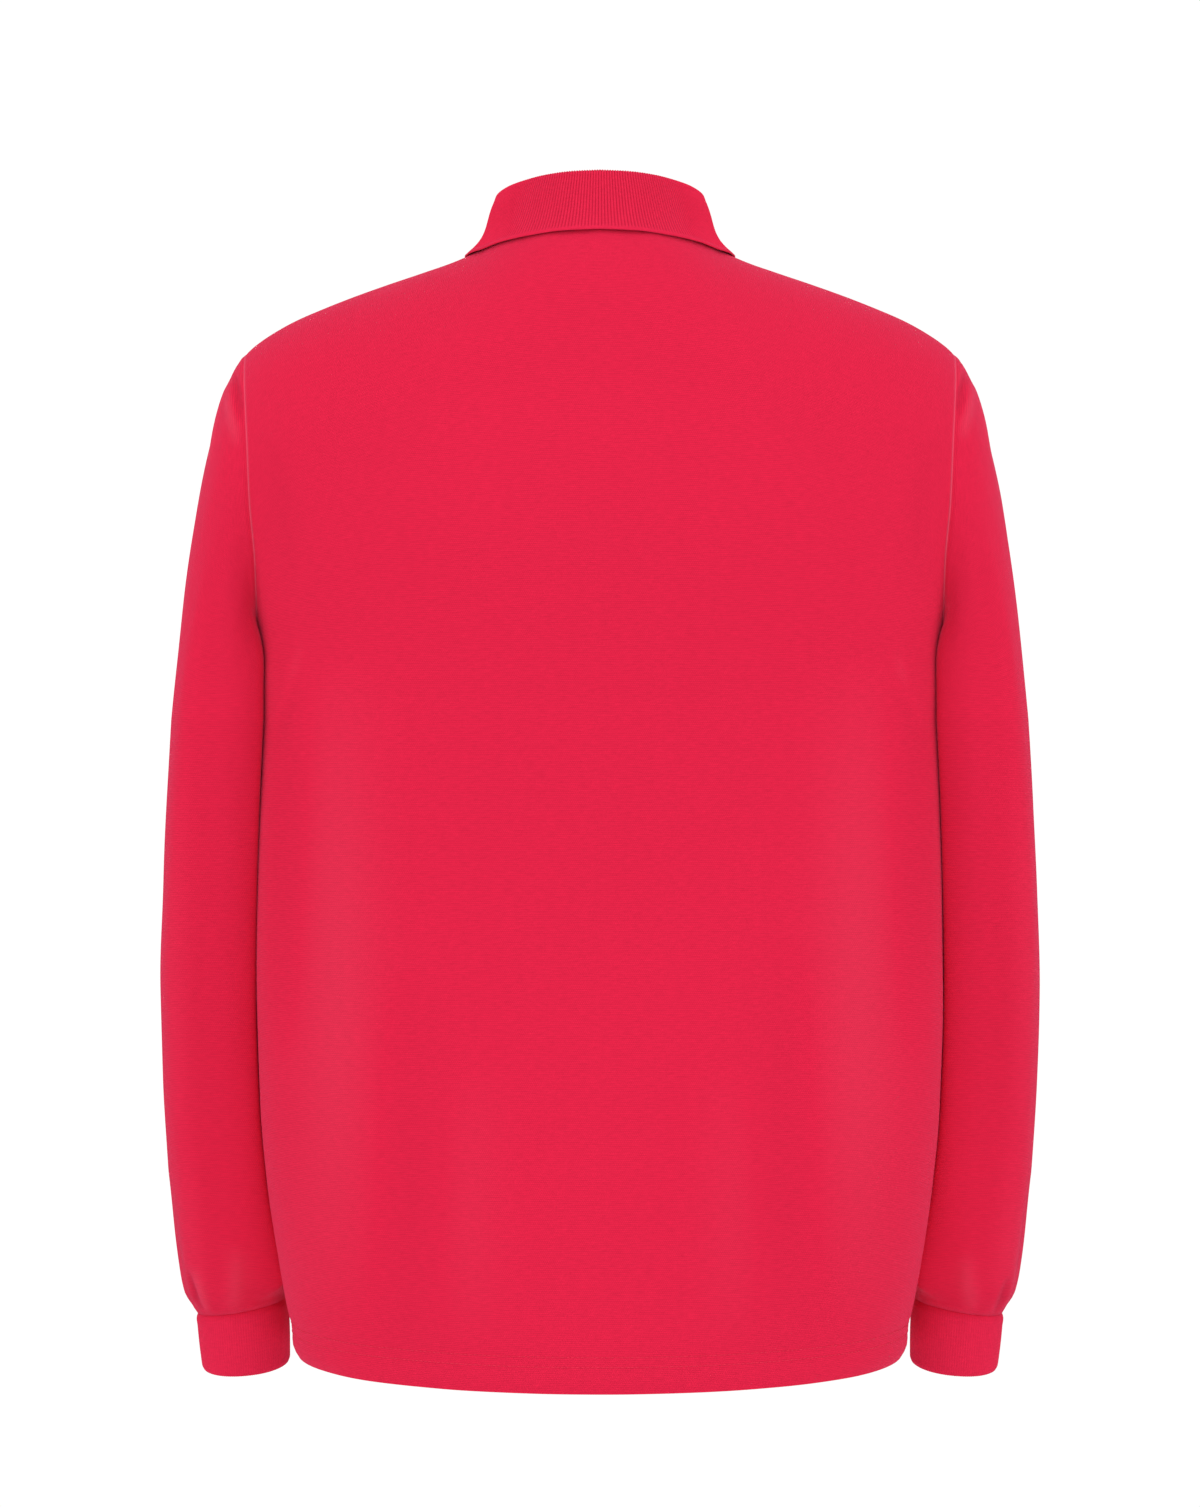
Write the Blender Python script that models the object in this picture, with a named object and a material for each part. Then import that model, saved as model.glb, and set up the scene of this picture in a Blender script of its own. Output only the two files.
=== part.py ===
# Long sleeve polo shirt, filled out as if worn, with nobody in it.
# Metres, +Z up. The garment's front faces -Y and its left sleeve lies at +X.
# The origin is in the middle of the neck, in the plane of the shoulder seams, where shoulders hold it.
# Tables and sizes below are in centimetres, and the mesh maker turns them into metres.

import math

import bmesh
import bpy
import numpy as np

for old in list(bpy.data.objects):
    bpy.data.objects.remove(old, do_unlink=True)

CM = 0.01

# Driving sizes
cloth_thickness = 0.20
hem_thickness = 0.30
cuff_thickness = 0.28
band_thickness = 0.16
seam_gap = 0.03
collar_gap = 0.05
band_lift = 0.04

hem_height = -71.6
hem_band = 2.3
underarm_height = -27.5
shoulder_point = (22.7, -7.05)
neck_half_width = 7.6
shoulder_round = 9.0

placket_half_width = 1.6
placket_cover = 0.15
placket_below_slit = 0.8
button_radius = 0.57
button_thickness = 0.24
button_heights = (-9.0, -14.4, -19.8)

# A button's turned outline, in shares of its radius and its thickness
button_profile = ((0.72, 0.00), (0.98, 0.25), (0.98, 0.80), (0.86, 1.00), (0.66, 0.66))
button_sides = 16

# Steps of the grids that the cloth is built on
columns_across_half = 12
neck_columns = 6
hem_rows = 2
rows_to_underarm = 9
rows_to_top = 10
slit_rows = 7
cap_rows = 7

BACK = 1
FRONT = -1

# Level cuts through the body: half width below the arms, depth behind and before the side seams, and
# the power of the rounded oval, which is 2 for an ellipse
body_columns = ("height", "half_width", "back", "front", "seam_y", "fullness")
body_table = (
    (-71.6, 19.68, 15.4, 13.4, -1.0, 2.00),
    (-70.0, 19.89, 15.2, 13.1, -1.0, 2.06),
    (-68.2, 20.26, 14.9, 12.8, -1.0, 2.15),
    (-65.6, 20.70, 14.4, 12.4, -1.0, 2.30),
    (-60.4, 21.44, 13.4, 11.8, -1.0, 2.60),
    (-55.3, 21.85, 12.5, 11.2, -1.0, 2.90),
    (-48.0, 22.05, 11.7, 10.6, -1.0, 3.15),
    (-40.0, 22.00, 11.4, 10.4, -1.0, 3.30),
    (-30.0, 21.94, 11.6, 10.5, -1.0, 3.30),
    (-27.5, 21.94, 11.8, 10.6, -0.97, 3.20),
    (-20.0, 21.94, 12.2, 10.8, -0.75, 2.85),
    (-14.0, 21.94, 11.8, 10.1, -0.5, 2.50),
    (-10.0, 21.94, 11.0, 9.1, -0.25, 2.35),
    (-7.4, 21.94, 10.5, 8.1, 0.0, 2.30),
    (-4.6, 21.94, 10.2, 7.2, 0.0, 2.30),
    (-2.0, 21.94, 10.1, 6.3, 0.0, 2.30),
    (0.5, 21.94, 10.3, 5.8, 0.0, 2.30),
    (4.0, 21.94, 10.3, 5.5, 0.0, 2.30),
)

# Ridge of the shoulders, and under the collar the ridge that the neck is cut from
ridge_columns = ("x", "height")
ridge_table = (
    (0.0, 3.33), (3.0, 2.72), (4.5, 1.94), (6.0, 0.95), (7.0, 0.16), (7.6, -0.35),
    (9.2, -1.13), (11.3, -1.87), (13.6, -2.64), (15.8, -3.42), (17.8, -4.20),
    (19.5, -4.93), (20.9, -5.69), (22.1, -6.50), (22.7, -7.05), (24.0, -8.60),
)

# Neck seam, by distance from the middle
neck_seam_columns = ("x", "back", "front")
neck_table = (
    (0.0, 0.50, -7.40),
    (1.6, 0.47, -7.25),
    (3.4, 0.36, -6.40),
    (5.2, 0.12, -4.80),
    (6.5, -0.10, -2.95),
    (7.3, -0.27, -1.30),
    (7.6, -0.35, -0.35),
)

# Armhole seam: distance from the middle at each height, on the back and on the front
armhole_columns = ("height", "back_x", "front_x")
armhole_table = (
    (-27.5, 21.94, 21.94),
    (-25.0, 21.70, 21.45),
    (-21.0, 21.62, 21.15),
    (-17.0, 21.90, 21.15),
    (-13.0, 22.15, 21.50),
    (-9.0, 22.50, 22.20),
    (-7.05, 22.70, 22.70),
)
armhole_depth = {BACK: 7.6, FRONT: 7.0}

# Soft upright folds of the body: a positive rise stands out, a negative one is a trough
fold_columns = ("side", "x", "top", "bottom", "half_width", "rise")
fold_table = (
    (BACK, 19.8, -24.0, -52.0, 1.7, -0.35),
    (BACK, 16.3, -27.0, -68.0, 2.6, 0.40),
    (BACK, 11.8, -46.0, -71.0, 2.2, -0.22),
    (BACK, 8.0, -52.0, -69.0, 2.0, 0.16),
    (BACK, -19.8, -24.0, -52.0, 1.7, -0.35),
    (BACK, -15.9, -27.0, -68.0, 2.6, 0.40),
    (BACK, -11.5, -44.0, -71.0, 2.2, -0.22),
    (BACK, -8.2, -52.0, -69.0, 2.0, 0.16),
    (FRONT, 18.6, -22.0, -50.0, 1.8, -0.40),
    (FRONT, 14.6, -26.0, -66.0, 2.6, 0.42),
    (FRONT, 9.8, -40.0, -71.0, 2.3, -0.26),
    (FRONT, -18.9, -22.0, -54.0, 1.8, -0.40),
    (FRONT, -15.0, -28.0, -68.0, 2.6, 0.40),
    (FRONT, -10.4, -42.0, -71.0, 2.3, -0.24),
)
fold_free_depth = 3.0

# Level cuts through the left sleeve, from the bicep down; fullness is the power of the rounded oval
sleeve_columns = (
    "height", "inner_x", "outer_x", "middle_y", "half_depth", "outer_drop", "rear_drop", "fullness",
)
sleeve_table = (
    (-30.6, 22.30, 27.58, -2.5, 8.6, 0.0, 0.0, 2.70),
    (-36.0, 22.30, 27.96, -3.1, 8.2, 0.0, 0.0, 3.00),
    (-42.0, 22.30, 28.30, -3.6, 7.7, 0.0, 0.0, 3.10),
    (-48.0, 22.30, 28.54, -4.0, 7.1, 0.0, 0.0, 3.00),
    (-54.0, 22.18, 28.49, -4.3, 6.4, 0.05, 0.05, 2.80),
    (-59.5, 21.85, 28.26, -4.6, 5.7, 0.10, 0.10, 2.60),
    (-63.4, 21.45, 28.00, -4.8, 5.05, 0.20, 0.10, 2.45),
    (-66.4, 21.05, 27.64, -5.0, 4.5, 0.30, 0.15, 2.30),
    (-67.8, 20.86, 27.33, -5.1, 4.0, 0.40, 0.20, 2.20),
    (-68.7, 20.70, 26.72, -5.2, 3.4, 0.50, 0.25, 2.15),
)

# Heights of the sleeve's rings from the bicep down
sleeve_levels = (
    -30.6, -34.1, -37.6, -41.1, -44.6, -48.1, -51.5, -55.0, -58.5, -62.0,
    -64.0, -65.7, -67.0, -68.0, -68.7,
)

# How the lines of the sleeve's cap leave the armhole seam and arrive at the bicep, at the top of the
# shoulder, at the back and front, and at the underarm
cap_columns = ("leave_x", "leave_y", "leave_z", "arrive_x", "arrive_y", "arrive_z")
cap_table = {
    "top": (2.7, 0.0, -1.95, -0.9, 0.0, 9.6),
    "side": (2.2, 0.5, -1.6, -0.4, -0.4, 6.0),
    "bottom": (0.05, 0.0, 0.75, 0.1, 0.1, 3.3),
}

# Soft folds of a sleeve, by the angle round it: 0 is outwards and 90 is to the back
sleeve_fold_columns = ("angle", "top", "bottom", "half_angle", "rise")
sleeve_fold_table = (
    (62.0, -33.0, -60.0, 22.0, 0.16),
    (118.0, -30.0, -56.0, 20.0, -0.14),
    (-60.0, -32.0, -58.0, 22.0, 0.16),
    (24.0, -60.0, -69.5, 13.0, -0.22),
    (66.0, -58.0, -69.5, 16.0, 0.14),
)

# Level cuts through the left cuff
cuff_table = (
    (-69.15, 20.60, 26.60, -5.3, 2.95, 0.50, 0.20, 2.10),
    (-71.20, 20.53, 26.42, -5.5, 2.88, 0.34, 0.30, 2.10),
    (-73.10, 20.50, 26.24, -5.7, 2.80, 0.20, 0.38, 2.10),
)

# Collar, from the middle of the front round to the middle of the back
collar_columns = ("fold_x", "fold_y", "fold_z", "edge_x", "edge_y", "edge_z", "hollow")
collar_table = (
    (0.25, -7.90, -4.50, 4.60, -10.15, -11.20, 0.00),
    (1.55, -7.75, -4.15, 5.35, -9.75, -10.10, 0.05),
    (3.20, -7.15, -3.20, 6.30, -9.10, -8.60, 0.10),
    (4.75, -5.85, -1.40, 7.40, -7.70, -6.20, 0.16),
    (5.75, -4.10, 0.55, 8.15, -5.60, -3.70, 0.24),
    (6.25, -2.10, 2.15, 8.58, -2.90, -1.30, 0.38),
    (6.47, 0.00, 2.84, 8.72, 0.00, -0.52, 0.46),
    (6.34, 1.75, 3.03, 8.48, 2.05, -0.60, 0.43),
    (5.75, 3.70, 3.17, 7.66, 4.12, -0.76, 0.34),
    (4.65, 5.25, 3.33, 6.30, 6.02, -0.58, 0.26),
    (3.30, 6.25, 3.52, 4.45, 7.46, -0.42, 0.20),
    (1.70, 6.85, 3.66, 2.30, 8.28, -0.26, 0.18),
    (0.00, 7.00, 3.72, 0.00, 8.56, -0.20, 0.18),
)
collar_fold_radius = 0.35


# Smooth reading of the tables
def column(table, names, name):
    return [row[names.index(name)] for row in table]


def smooth_curve(xs, ys):
    """A smooth line through the points, with no overshoot between them."""
    order = np.argsort(xs)
    x = np.array(xs, dtype=float)[order]
    y = np.array(ys, dtype=float)[order]
    step = np.diff(x)
    slope = np.diff(y) / step
    tangent = np.zeros(len(x))
    for i in range(1, len(x) - 1):
        if slope[i - 1] * slope[i] > 0.0:
            tangent[i] = 2.0 * slope[i - 1] * slope[i] / (slope[i - 1] + slope[i])
    tangent[0] = slope[0]
    tangent[-1] = slope[-1]

    def read(value):
        value = min(max(value, x[0]), x[-1])
        i = min(int(np.searchsorted(x, value, side="right")) - 1, len(step) - 1)
        t = (value - x[i]) / step[i]
        start = (1.0 + 2.0 * t) * (1.0 - t) ** 2 * y[i] + t * (1.0 - t) ** 2 * step[i] * tangent[i]
        end = t * t * (3.0 - 2.0 * t) * y[i + 1] + t * t * (t - 1.0) * step[i] * tangent[i + 1]
        return start + end

    return read


def table_curves(table, names, by):
    heights = column(table, names, by)
    return {name: smooth_curve(heights, column(table, names, name)) for name in names if name != by}


body = table_curves(body_table, body_columns, "height")
ridge = table_curves(ridge_table, ridge_columns, "x")["height"]
neck = table_curves(neck_table, neck_seam_columns, "x")
armhole = table_curves(armhole_table, armhole_columns, "height")


def smooth_step(t):
    t = min(max(t, 0.0), 1.0)
    return t * t * (3.0 - 2.0 * t)


def depth_name(side):
    return "back" if side == BACK else "front"


# The form that the panels follow
def shoulder_share(x, z):
    """How much of its full depth the form has at a height, from 0 on the ridge to 1 below it."""
    t = (ridge(abs(x)) - z) / shoulder_round
    t = min(max(t, 0.0), 1.0)
    return math.sqrt(1.0 - (1.0 - t) ** 2)


def armhole_x(side, z):
    return armhole["back_x" if side == BACK else "front_x"](z)


def armhole_reach(side, z):
    """Distance of the armhole seam behind or before the side seams."""
    middle = 0.5 * (shoulder_point[1] + underarm_height)
    half = 0.5 * (shoulder_point[1] - underarm_height)
    cosine = min(max((z - middle) / half, -1.0), 1.0)
    return armhole_depth[side] * math.sqrt(1.0 - cosine * cosine)


def full_half_width(side, z):
    """Half width that a level cut would have if it weren't cut off by the armhole."""
    if z <= underarm_height:
        return body["half_width"](z)
    z = min(z, shoulder_point[1] - 0.15)
    x = armhole_x(side, z)
    power = body["fullness"](z)
    share = armhole_reach(side, z) / (body[depth_name(side)](z) * shoulder_share(x, z))
    return x / (1.0 - min(share, 0.95) ** power) ** (1.0 / power)


def fold_rise(side, x, z):
    total = 0.0
    for row in fold_table:
        fold = dict(zip(fold_columns, row))
        if fold["side"] != side:
            continue
        along = (fold["top"] - z) / (fold["top"] - fold["bottom"])
        if 0.0 < along < 1.0:
            across = (x - fold["x"]) / fold["half_width"]
            total += fold["rise"] * math.sin(math.pi * along) ** 0.8 * math.exp(-across * across)
    return total


def form_y(side, x, z, lift=0.0):
    """Y of the outside of the cloth at a place seen from the front or the back."""
    power = body["fullness"](z)
    reach = min(abs(x) / full_half_width(side, z), 1.0)
    depth = body[depth_name(side)](z) * (1.0 - reach ** power) ** (1.0 / power)
    depth = depth * shoulder_share(x, z)
    if depth > fold_free_depth:
        depth += fold_rise(side, x, z) * smooth_step(depth / fold_free_depth - 1.0)
    return body["seam_y"](z) + side * (depth + lift + 0.5 * seam_gap)


# Grids of points: rows go up a piece and columns go across or round it
def top_columns(side):
    """Distances from the middle at which the columns meet the neck seam and the shoulder seam."""
    if side == FRONT:
        at_neck = column(neck_table, neck_seam_columns, "x")
    else:
        quarter_steps = np.linspace(0.0, 0.5 * math.pi, neck_columns + 1)
        at_neck = [neck_half_width * math.sin(step) for step in quarter_steps]
    shoulder_steps = columns_across_half - neck_columns
    wide = shoulder_point[0] - neck_half_width
    return at_neck + [neck_half_width + wide * k / shoulder_steps for k in range(1, shoulder_steps + 1)]


def top_height(side, x):
    if x < neck_half_width:
        return neck[depth_name(side)](x)
    return ridge(x)


def lower_column(side, share):
    """Points up one column from the hem to the level of the underarm."""
    points = []
    for z in np.linspace(hem_height, underarm_height, rows_to_underarm + 1):
        x = share * body["half_width"](z)
        points.append((x, form_y(side, x, z), z))
    return points


def upper_column(side, share, top_x):
    """Points up one column from the level of the underarm to the neck or the shoulder seam."""
    points = []
    top_z = top_height(side, abs(top_x))
    for k in range(rows_to_top + 1):
        rise = 0.5 - 0.5 * math.cos(math.pi * k / rows_to_top)
        z = underarm_height + (top_z - underarm_height) * rise
        edge_x = armhole_x(side, underarm_height + (shoulder_point[1] - underarm_height) * rise)
        narrow = edge_x / shoulder_point[0] - 1.0
        at_top = top_x * (1.0 + narrow * (top_x / shoulder_point[0]) ** 2)
        quick = 0.2 if side == FRONT and abs(top_x) < 2.0 else 1.0
        mix = smooth_step(rise / quick)
        x = share * edge_x * (1.0 - mix) + at_top * mix
        points.append((x, form_y(side, x, z), z))
    return points


def panel_grid(side):
    """Outside of the back or the front, rows from the hem up, columns from -X to +X."""
    tops = top_columns(side)
    half = []
    for k in range(columns_across_half + 1):
        share = math.sin(0.5 * math.pi * k / columns_across_half)
        half.append((share, tops[k]))
    lines = [(-share, -top) for share, top in reversed(half[1:])] + half
    grid = []
    for share, top in lines:
        grid.append(lower_column(side, share) + upper_column(side, share, top)[1:])
    grid = np.array(grid).transpose(1, 0, 2)
    return with_hem_rows(side, grid)


def with_hem_rows(side, grid):
    """Adds the two rows between which the doubled hem ends."""
    rows = [grid[0]]
    for z in (hem_height + hem_band, hem_height + hem_band + 0.1):
        across = grid[0][:, 0] / body["half_width"](hem_height)
        xs = across * body["half_width"](z)
        rows.append(np.array([(x, form_y(side, x, z), z) for x in xs]))
    return np.concatenate((np.array(rows), grid[1:]))


def grid_normals(grid, closed):
    if closed:
        across = np.roll(grid, -1, axis=1) - np.roll(grid, 1, axis=1)
    else:
        across = np.gradient(grid, axis=1)
    up = np.gradient(grid, axis=0)
    normal = np.cross(across, up)
    return normal / np.linalg.norm(normal, axis=2, keepdims=True)


def unit(vector):
    return vector / np.linalg.norm(vector)


# Meshes
def cloth_material(name, colour, roughness):
    material = bpy.data.materials.new(name)
    material.use_nodes = True
    shader = material.node_tree.nodes["Principled BSDF"]
    shader.inputs["Base Color"].default_value = (*colour, 1.0)
    shader.inputs["Roughness"].default_value = roughness
    shader.inputs["Metallic"].default_value = 0.0
    material.diffuse_color = (*colour, 1.0)
    return material


def add_object(name, mesh_data, material):
    bmesh.ops.recalc_face_normals(mesh_data, faces=mesh_data.faces)
    mesh = bpy.data.meshes.new(name)
    mesh_data.to_mesh(mesh)
    mesh_data.free()
    mesh.materials.append(material)
    mesh.shade_smooth()
    mesh.set_sharp_from_angle(angle=math.radians(50.0))
    bpy.context.scene.collection.objects.link(bpy.data.objects.new(name, mesh))


def make_wall(name, outer, inner, material, closed=False, left_out=()):
    """A closed wall between two grids of the same shape, with rims wherever a cell has no neighbour."""
    rows, cols = outer.shape[:2]
    cell_cols = cols if closed else cols - 1
    data = bmesh.new()
    made = {}

    def vertex(layer, i, j):
        key = (layer, i, j % cols)
        if key not in made:
            made[key] = data.verts.new((outer if layer == 0 else inner)[i, j % cols] * CM)
        return made[key]

    def kept(i, j):
        if closed:
            j = j % cols
        return 0 <= i < rows - 1 and 0 <= j < cell_cols and (i, j) not in left_out

    for i in range(rows - 1):
        for j in range(cell_cols):
            if not kept(i, j):
                continue
            corners = ((i, j), (i, j + 1), (i + 1, j + 1), (i + 1, j))
            data.faces.new([vertex(0, *corner) for corner in corners])
            data.faces.new([vertex(1, *corner) for corner in reversed(corners)])
            neighbours = ((i - 1, j), (i, j + 1), (i + 1, j), (i, j - 1))
            for k, neighbour in enumerate(neighbours):
                if not kept(*neighbour):
                    a, inner_a = (vertex(layer, *corners[k]) for layer in (0, 1))
                    b, inner_b = (vertex(layer, *corners[(k + 1) % 4]) for layer in (0, 1))
                    if a.co.z < b.co.z:
                        data.faces.new((b, a, inner_a))
                        data.faces.new((b, inner_a, inner_b))
                    else:
                        data.faces.new((b, a, inner_b))
                        data.faces.new((a, inner_a, inner_b))
    add_object(name, data, material)


def mirrored(grid):
    return grid * np.array([-1.0, 1.0, 1.0])


# Back and front
def panel_walls(side):
    outer = panel_grid(side)
    normals = grid_normals(outer, False) * -side
    rows, cols = outer.shape[:2]
    underarm_row = hem_rows + rows_to_underarm
    for i in range(underarm_row + 1):
        for j in (0, cols - 1):
            normals[i, j, 1] = 0.0
            normals[i, j] = unit(normals[i, j])
    for j in range(cols):
        if abs(outer[-1, j, 0]) > neck_half_width - 0.01:
            normals[-1, j, 1] = 0.0
            normals[-1, j] = unit(normals[-1, j])
    thickness = np.full((rows, cols, 1), cloth_thickness)
    thickness[0:2] = hem_thickness
    return outer, outer - normals * thickness


def make_panels(material):
    walls = {side: panel_walls(side) for side in (BACK, FRONT)}
    make_wall("back_panel", *walls[BACK], material)
    middle = columns_across_half
    top_row = len(walls[FRONT][0]) - 1
    slit = {(i, j) for i in range(top_row - slit_rows, top_row) for j in (middle - 1, middle)}
    make_wall("front_panel", *walls[FRONT], material, left_out=slit)
    return walls


# Placket bands and buttons
def band_grid(outer, first_row, last_row, half_width, low_end, top_gap):
    """Points of the front panel between two rows, at the band's own width."""
    middle = columns_across_half
    grid = []
    for i in range(first_row, last_row + 1):
        z = outer[i, middle, 2]
        if i == first_row:
            z = z + low_end
        if i == last_row:
            z = z - top_gap
        line = []
        for x in (-half_width, -0.5 * half_width, 0.0, 0.5 * half_width, half_width):
            drop = neck["front"](abs(x)) - neck["front"](0.0) if i == last_row else 0.0
            line.append((x, form_y(FRONT, x, z + drop), z + drop))
        grid.append(line)
    return np.array(grid)


def make_placket(walls, cloth, plastic):
    outer = walls[FRONT][0]
    last = len(outer) - 1
    first = last - slit_rows
    forward = np.array([0.0, -1.0, 0.0])
    under = band_grid(outer, first, last, placket_half_width - seam_gap, 3.0 * seam_gap, 2.0 * seam_gap)
    make_wall("placket_under", under, under - forward * cloth_thickness, cloth)
    cover = placket_half_width + placket_cover
    upper = band_grid(outer, first, last, cover, -placket_below_slit, 2.0 * seam_gap)
    upper_inner = upper + forward * band_lift
    make_wall("placket_upper", upper_inner + forward * band_thickness, upper_inner, cloth)
    names = ("button_top", "button_middle", "button_bottom")
    for name, height in zip(names, button_heights):
        make_button(name, height, plastic)


def make_button(name, height, material):
    """A turned button with a raised rim, lying on the upper band."""
    lift = band_lift + band_thickness + seam_gap
    seat = np.array([0.0, form_y(FRONT, 0.0, height, lift), height])
    above, below = (form_y(FRONT, 0.0, height + step) for step in (button_radius, -button_radius))
    up = unit(np.array([0.0, above - below, 2.0 * button_radius]))
    sideways = np.array([1.0, 0.0, 0.0])
    outward = np.cross(sideways, up)
    data = bmesh.new()
    rings = []
    for radius, level in button_profile:
        circle = []
        for k in range(button_sides):
            turn = 2.0 * math.pi * k / button_sides
            flat = sideways * math.cos(turn) + up * math.sin(turn)
            place = seat + flat * button_radius * radius + outward * button_thickness * level
            circle.append(data.verts.new(place * CM))
        rings.append(circle)
    for low, high in zip(rings, rings[1:]):
        for k in range(button_sides):
            n = (k + 1) % button_sides
            data.faces.new((low[k], low[n], high[n], high[k]))
    data.faces.new(reversed(rings[0]))
    data.faces.new(rings[-1])
    add_object(name, data, material)


# Sleeves
def rim_directions(points, inside, toward):
    """Directions in which a cut edge faces: square to the edge and along the cloth."""
    away = np.cross(np.gradient(points, axis=0), points - inside)
    return np.array([unit(v) * np.sign(np.dot(v, w)) for v, w in zip(away, toward)])


def armhole_rim(walls):
    """Outer points, inner points and outward directions of the armhole seam of the left side."""
    underarm_row = hem_rows + rows_to_underarm
    parts = {}
    for side in (BACK, FRONT):
        outer, inner = walls[side]
        rows = list(range(outer.shape[0] - 1, underarm_row - 1, -1))
        points = outer[rows, -1]
        inside = inner[rows, -1]
        away = rim_directions(points, inside, points - outer[rows, -2])
        away[-1] = np.array([0.0, 0.0, 1.0])
        parts[side] = (points, inside, away)
    loops = []
    for k in range(3):
        back = parts[BACK][k]
        front = parts[FRONT][k]
        top = 0.5 * (back[0] + front[0])
        bottom = 0.5 * (back[-1] + front[-1])
        loops.append(np.concatenate(([top], back[1:-1], [bottom], front[-2:0:-1])))
    loops[2] = np.array([unit(v) for v in loops[2]])
    return loops


def ring(section, count):
    """One level cut of a tube. Point 0 is outwards and a quarter round is the back."""
    power = section["fullness"]
    middle_x = 0.5 * (section["inner_x"] + section["outer_x"])
    half_x = 0.5 * (section["outer_x"] - section["inner_x"])
    points = []
    for k in range(count):
        turn = 2.0 * math.pi * k / count
        c = math.copysign(abs(math.cos(turn)) ** (2.0 / power), math.cos(turn))
        s = math.copysign(abs(math.sin(turn)) ** (2.0 / power), math.sin(turn))
        z = section["height"] - section["outer_drop"] * c - section["rear_drop"] * s
        points.append((middle_x + half_x * c, section["middle_y"] + section["half_depth"] * s, z))
    return np.array(points)


def sections(table, names, heights):
    curves = table_curves(table, names, "height")
    for z in heights:
        section = {name: curves[name](z) for name in curves}
        section["height"] = z
        yield section


def sleeve_rise(angle, z):
    total = 0.0
    for row in sleeve_fold_table:
        fold = dict(zip(sleeve_fold_columns, row))
        along = (fold["top"] - z) / (fold["top"] - fold["bottom"])
        if 0.0 < along < 1.0:
            across = ((angle - fold["angle"] + 180.0) % 360.0 - 180.0) / fold["half_angle"]
            total += fold["rise"] * math.sin(math.pi * along) * math.exp(-across * across)
    return total


def cap_lines(rim, bicep):
    """Smooth lines from the armhole seam down to the bicep."""
    count = len(bicep)
    rings = []
    for t in np.linspace(0.0, 1.0, cap_rows + 1)[1:-1]:
        line = []
        for k in range(count):
            turn = 2.0 * math.pi * k / count
            rear = math.sin(turn)
            mirror = np.array([1.0, rear, 1.0, 1.0, rear, 1.0])
            bend = max(math.cos(turn), 0.0) ** 2 * np.array(cap_table["top"])
            bend = bend + rear * rear * np.array(cap_table["side"]) * mirror
            bend = bend + max(-math.cos(turn), 0.0) ** 2 * np.array(cap_table["bottom"])
            p0 = rim[k]
            p1 = p0 + bend[:3]
            p3 = bicep[k]
            p2 = p3 + bend[3:]
            u = 1.0 - t
            line.append(u ** 3 * p0 + 3 * u * u * t * p1 + 3 * u * t * t * p2 + t ** 3 * p3)
        rings.append(np.array(line))
    return rings


def sleeve_grids(walls):
    rim_outer, rim_inner, away = armhole_rim(walls)
    count = len(rim_outer)
    tube = [ring(cut, count) for cut in sections(sleeve_table, sleeve_columns, sleeve_levels)]
    start = rim_outer + away * seam_gap
    rings = [start] + cap_lines(start, tube[0]) + tube
    cuff = cuff_grids(count)
    axis = unit(cuff[0][0].mean(axis=0) - cuff[0][-1].mean(axis=0))
    rings.append(cuff[0][0] + axis * seam_gap)
    outer = np.array(rings)
    normals = grid_normals(outer, True)
    for i in range(1, len(rings) - 1):
        for k in range(count):
            outer[i, k] -= normals[i, k] * sleeve_rise(360.0 * k / count, outer[i, k, 2])
    normals = grid_normals(outer, True)
    inner = outer + normals * cloth_thickness
    inner[0] = rim_inner + away * seam_gap
    inner[-1] = cuff[1][0] + axis * seam_gap
    return outer, inner, cuff


def cuff_grids(count):
    levels = [row[0] for row in cuff_table]
    cuts = sections(cuff_table, sleeve_columns, levels)
    outer = np.array([ring(cut, count) for cut in cuts])
    normals = grid_normals(outer, True)
    return outer, outer + normals * cuff_thickness


def make_sleeves(walls, cloth, rib):
    outer, inner, cuff = sleeve_grids(walls)
    make_wall("sleeve_left", outer, inner, cloth, closed=True)
    make_wall("sleeve_right", mirrored(outer), mirrored(inner), cloth, closed=True)
    make_wall("cuff_left", *cuff, rib, closed=True)
    make_wall("cuff_right", *(mirrored(face) for face in cuff), rib, closed=True)


# Collar
def collar_bases(walls):
    """Points of the neck seam on the left half, from the middle of the front to the middle of the back."""
    middle = columns_across_half
    corner = middle + neck_columns
    x = collar_table[0][0]
    z = neck["front"](x)
    start = np.array([x, form_y(FRONT, x, z), z])
    bases = [(start, start + np.array([0.0, cloth_thickness, 0.0]), np.array([0.0, 0.0, 1.0]))]
    rims = {}
    for side in (FRONT, BACK):
        outer, inner = walls[side]
        across = list(range(middle, corner + 1))
        away = rim_directions(outer[-1, across], inner[-1, across], outer[-1, across] - outer[-2, across])
        rims[side] = list(zip(outer[-1, across], inner[-1, across], away))
    bases += rims[FRONT][1:-1]
    shared = [0.5 * (rims[FRONT][-1][k] + rims[BACK][-1][k]) for k in range(3)]
    bases.append((shared[0], shared[1], unit(shared[2])))
    bases += reversed(rims[BACK][:-1])
    return bases


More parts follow.
